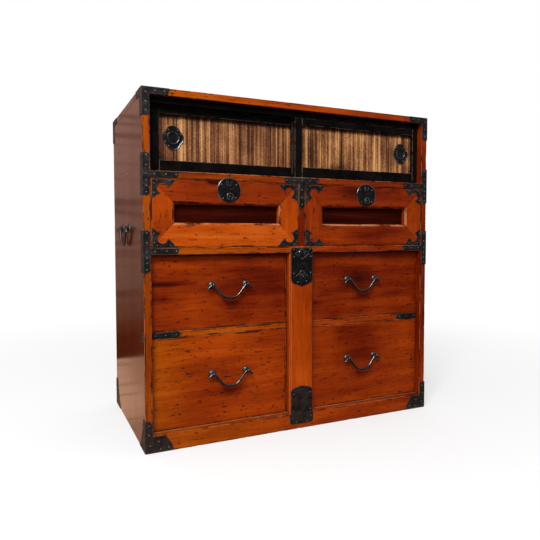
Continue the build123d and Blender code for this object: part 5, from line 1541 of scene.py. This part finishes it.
class CHEST_OT_case_boards(Operator):
    """Sides, top, shelves, rails and inner boards."""

    bl_idname = "chest.case_boards"
    bl_label = "Case boards"

    def execute(self, context):
        return done(case_sides, case_top, sill_shelf, case_rails, case_inside)


class CHEST_OT_doors(Operator):
    """Sliding doors: frames, striped panels and finger pulls."""

    bl_idname = "chest.doors"
    bl_label = "Sliding doors"

    def execute(self, context):
        return done(doors)


class CHEST_OT_upper_drawers(Operator):
    """Upper drawers: mitred fronts, corner irons and round locks."""

    bl_idname = "chest.upper_drawers"
    bl_label = "Upper drawers"

    def execute(self, context):
        return done(upper_drawers)


class CHEST_OT_lower_drawers(Operator):
    """Lower drawers: worn fronts, roses and bails."""

    bl_idname = "chest.lower_drawers"
    bl_label = "Lower drawers"

    def execute(self, context):
        return done(lower_drawers)


class CHEST_OT_side_handles(Operator):
    """Side handles: roses and bails."""

    bl_idname = "chest.side_handles"
    bl_label = "Side handles"

    def execute(self, context):
        return done(side_handles)


class CHEST_OT_case_irons(Operator):
    """Corner irons, straps and their nails."""

    bl_idname = "chest.case_irons"
    bl_label = "Case irons"

    def execute(self, context):
        return done(case_irons)


class CHEST_OT_lock_bar(Operator):
    """The lock bar, its sheets and its keeper."""

    bl_idname = "chest.lock_bar"
    bl_label = "Lock bar"

    def execute(self, context):
        return done(lock_bar)


OPERATORS = (
    CHEST_OT_stage, CHEST_OT_case_boards, CHEST_OT_doors, CHEST_OT_upper_drawers, CHEST_OT_lower_drawers,
    CHEST_OT_side_handles, CHEST_OT_case_irons, CHEST_OT_lock_bar,
)


class CHEST_PT_panel(Panel):
    """Lists the chest's pieces and settings."""

    bl_label = "Isho Chest"
    bl_idname = "CHEST_PT_panel"
    bl_space_type = "VIEW_3D"
    bl_region_type = "UI"
    bl_category = "Chest"

    def draw(self, context):
        for settings in (context.scene.chest_wood, context.scene.chest_iron, context.scene.chest_stage):
            box = self.layout.box()
            for key in settings.__annotations__:
                box.prop(settings, key)
        for item in OPERATORS:
            self.layout.operator(item.bl_idname)


SETTINGS = {"chest_wood": ChestWoodSettings, "chest_iron": ChestIronSettings, "chest_stage": ChestStageSettings}


def register():
    """Registers the classes and hangs the settings on the scene."""
    for item in (*SETTINGS.values(), *OPERATORS, CHEST_PT_panel):
        bpy.utils.register_class(item)
    for key, item in SETTINGS.items():
        setattr(bpy.types.Scene, key, PointerProperty(type=item))


def unregister():
    """Undoes register, in the other order."""
    for key in SETTINGS:
        delattr(bpy.types.Scene, key)
    for item in (CHEST_PT_panel, *reversed(OPERATORS), *SETTINGS.values()):
        bpy.utils.unregister_class(item)


def main():
    register()
    for item in OPERATORS:
        group, name = item.bl_idname.split(".")
        getattr(getattr(bpy.ops, group), name)()


if __name__ == "__main__":
    main()
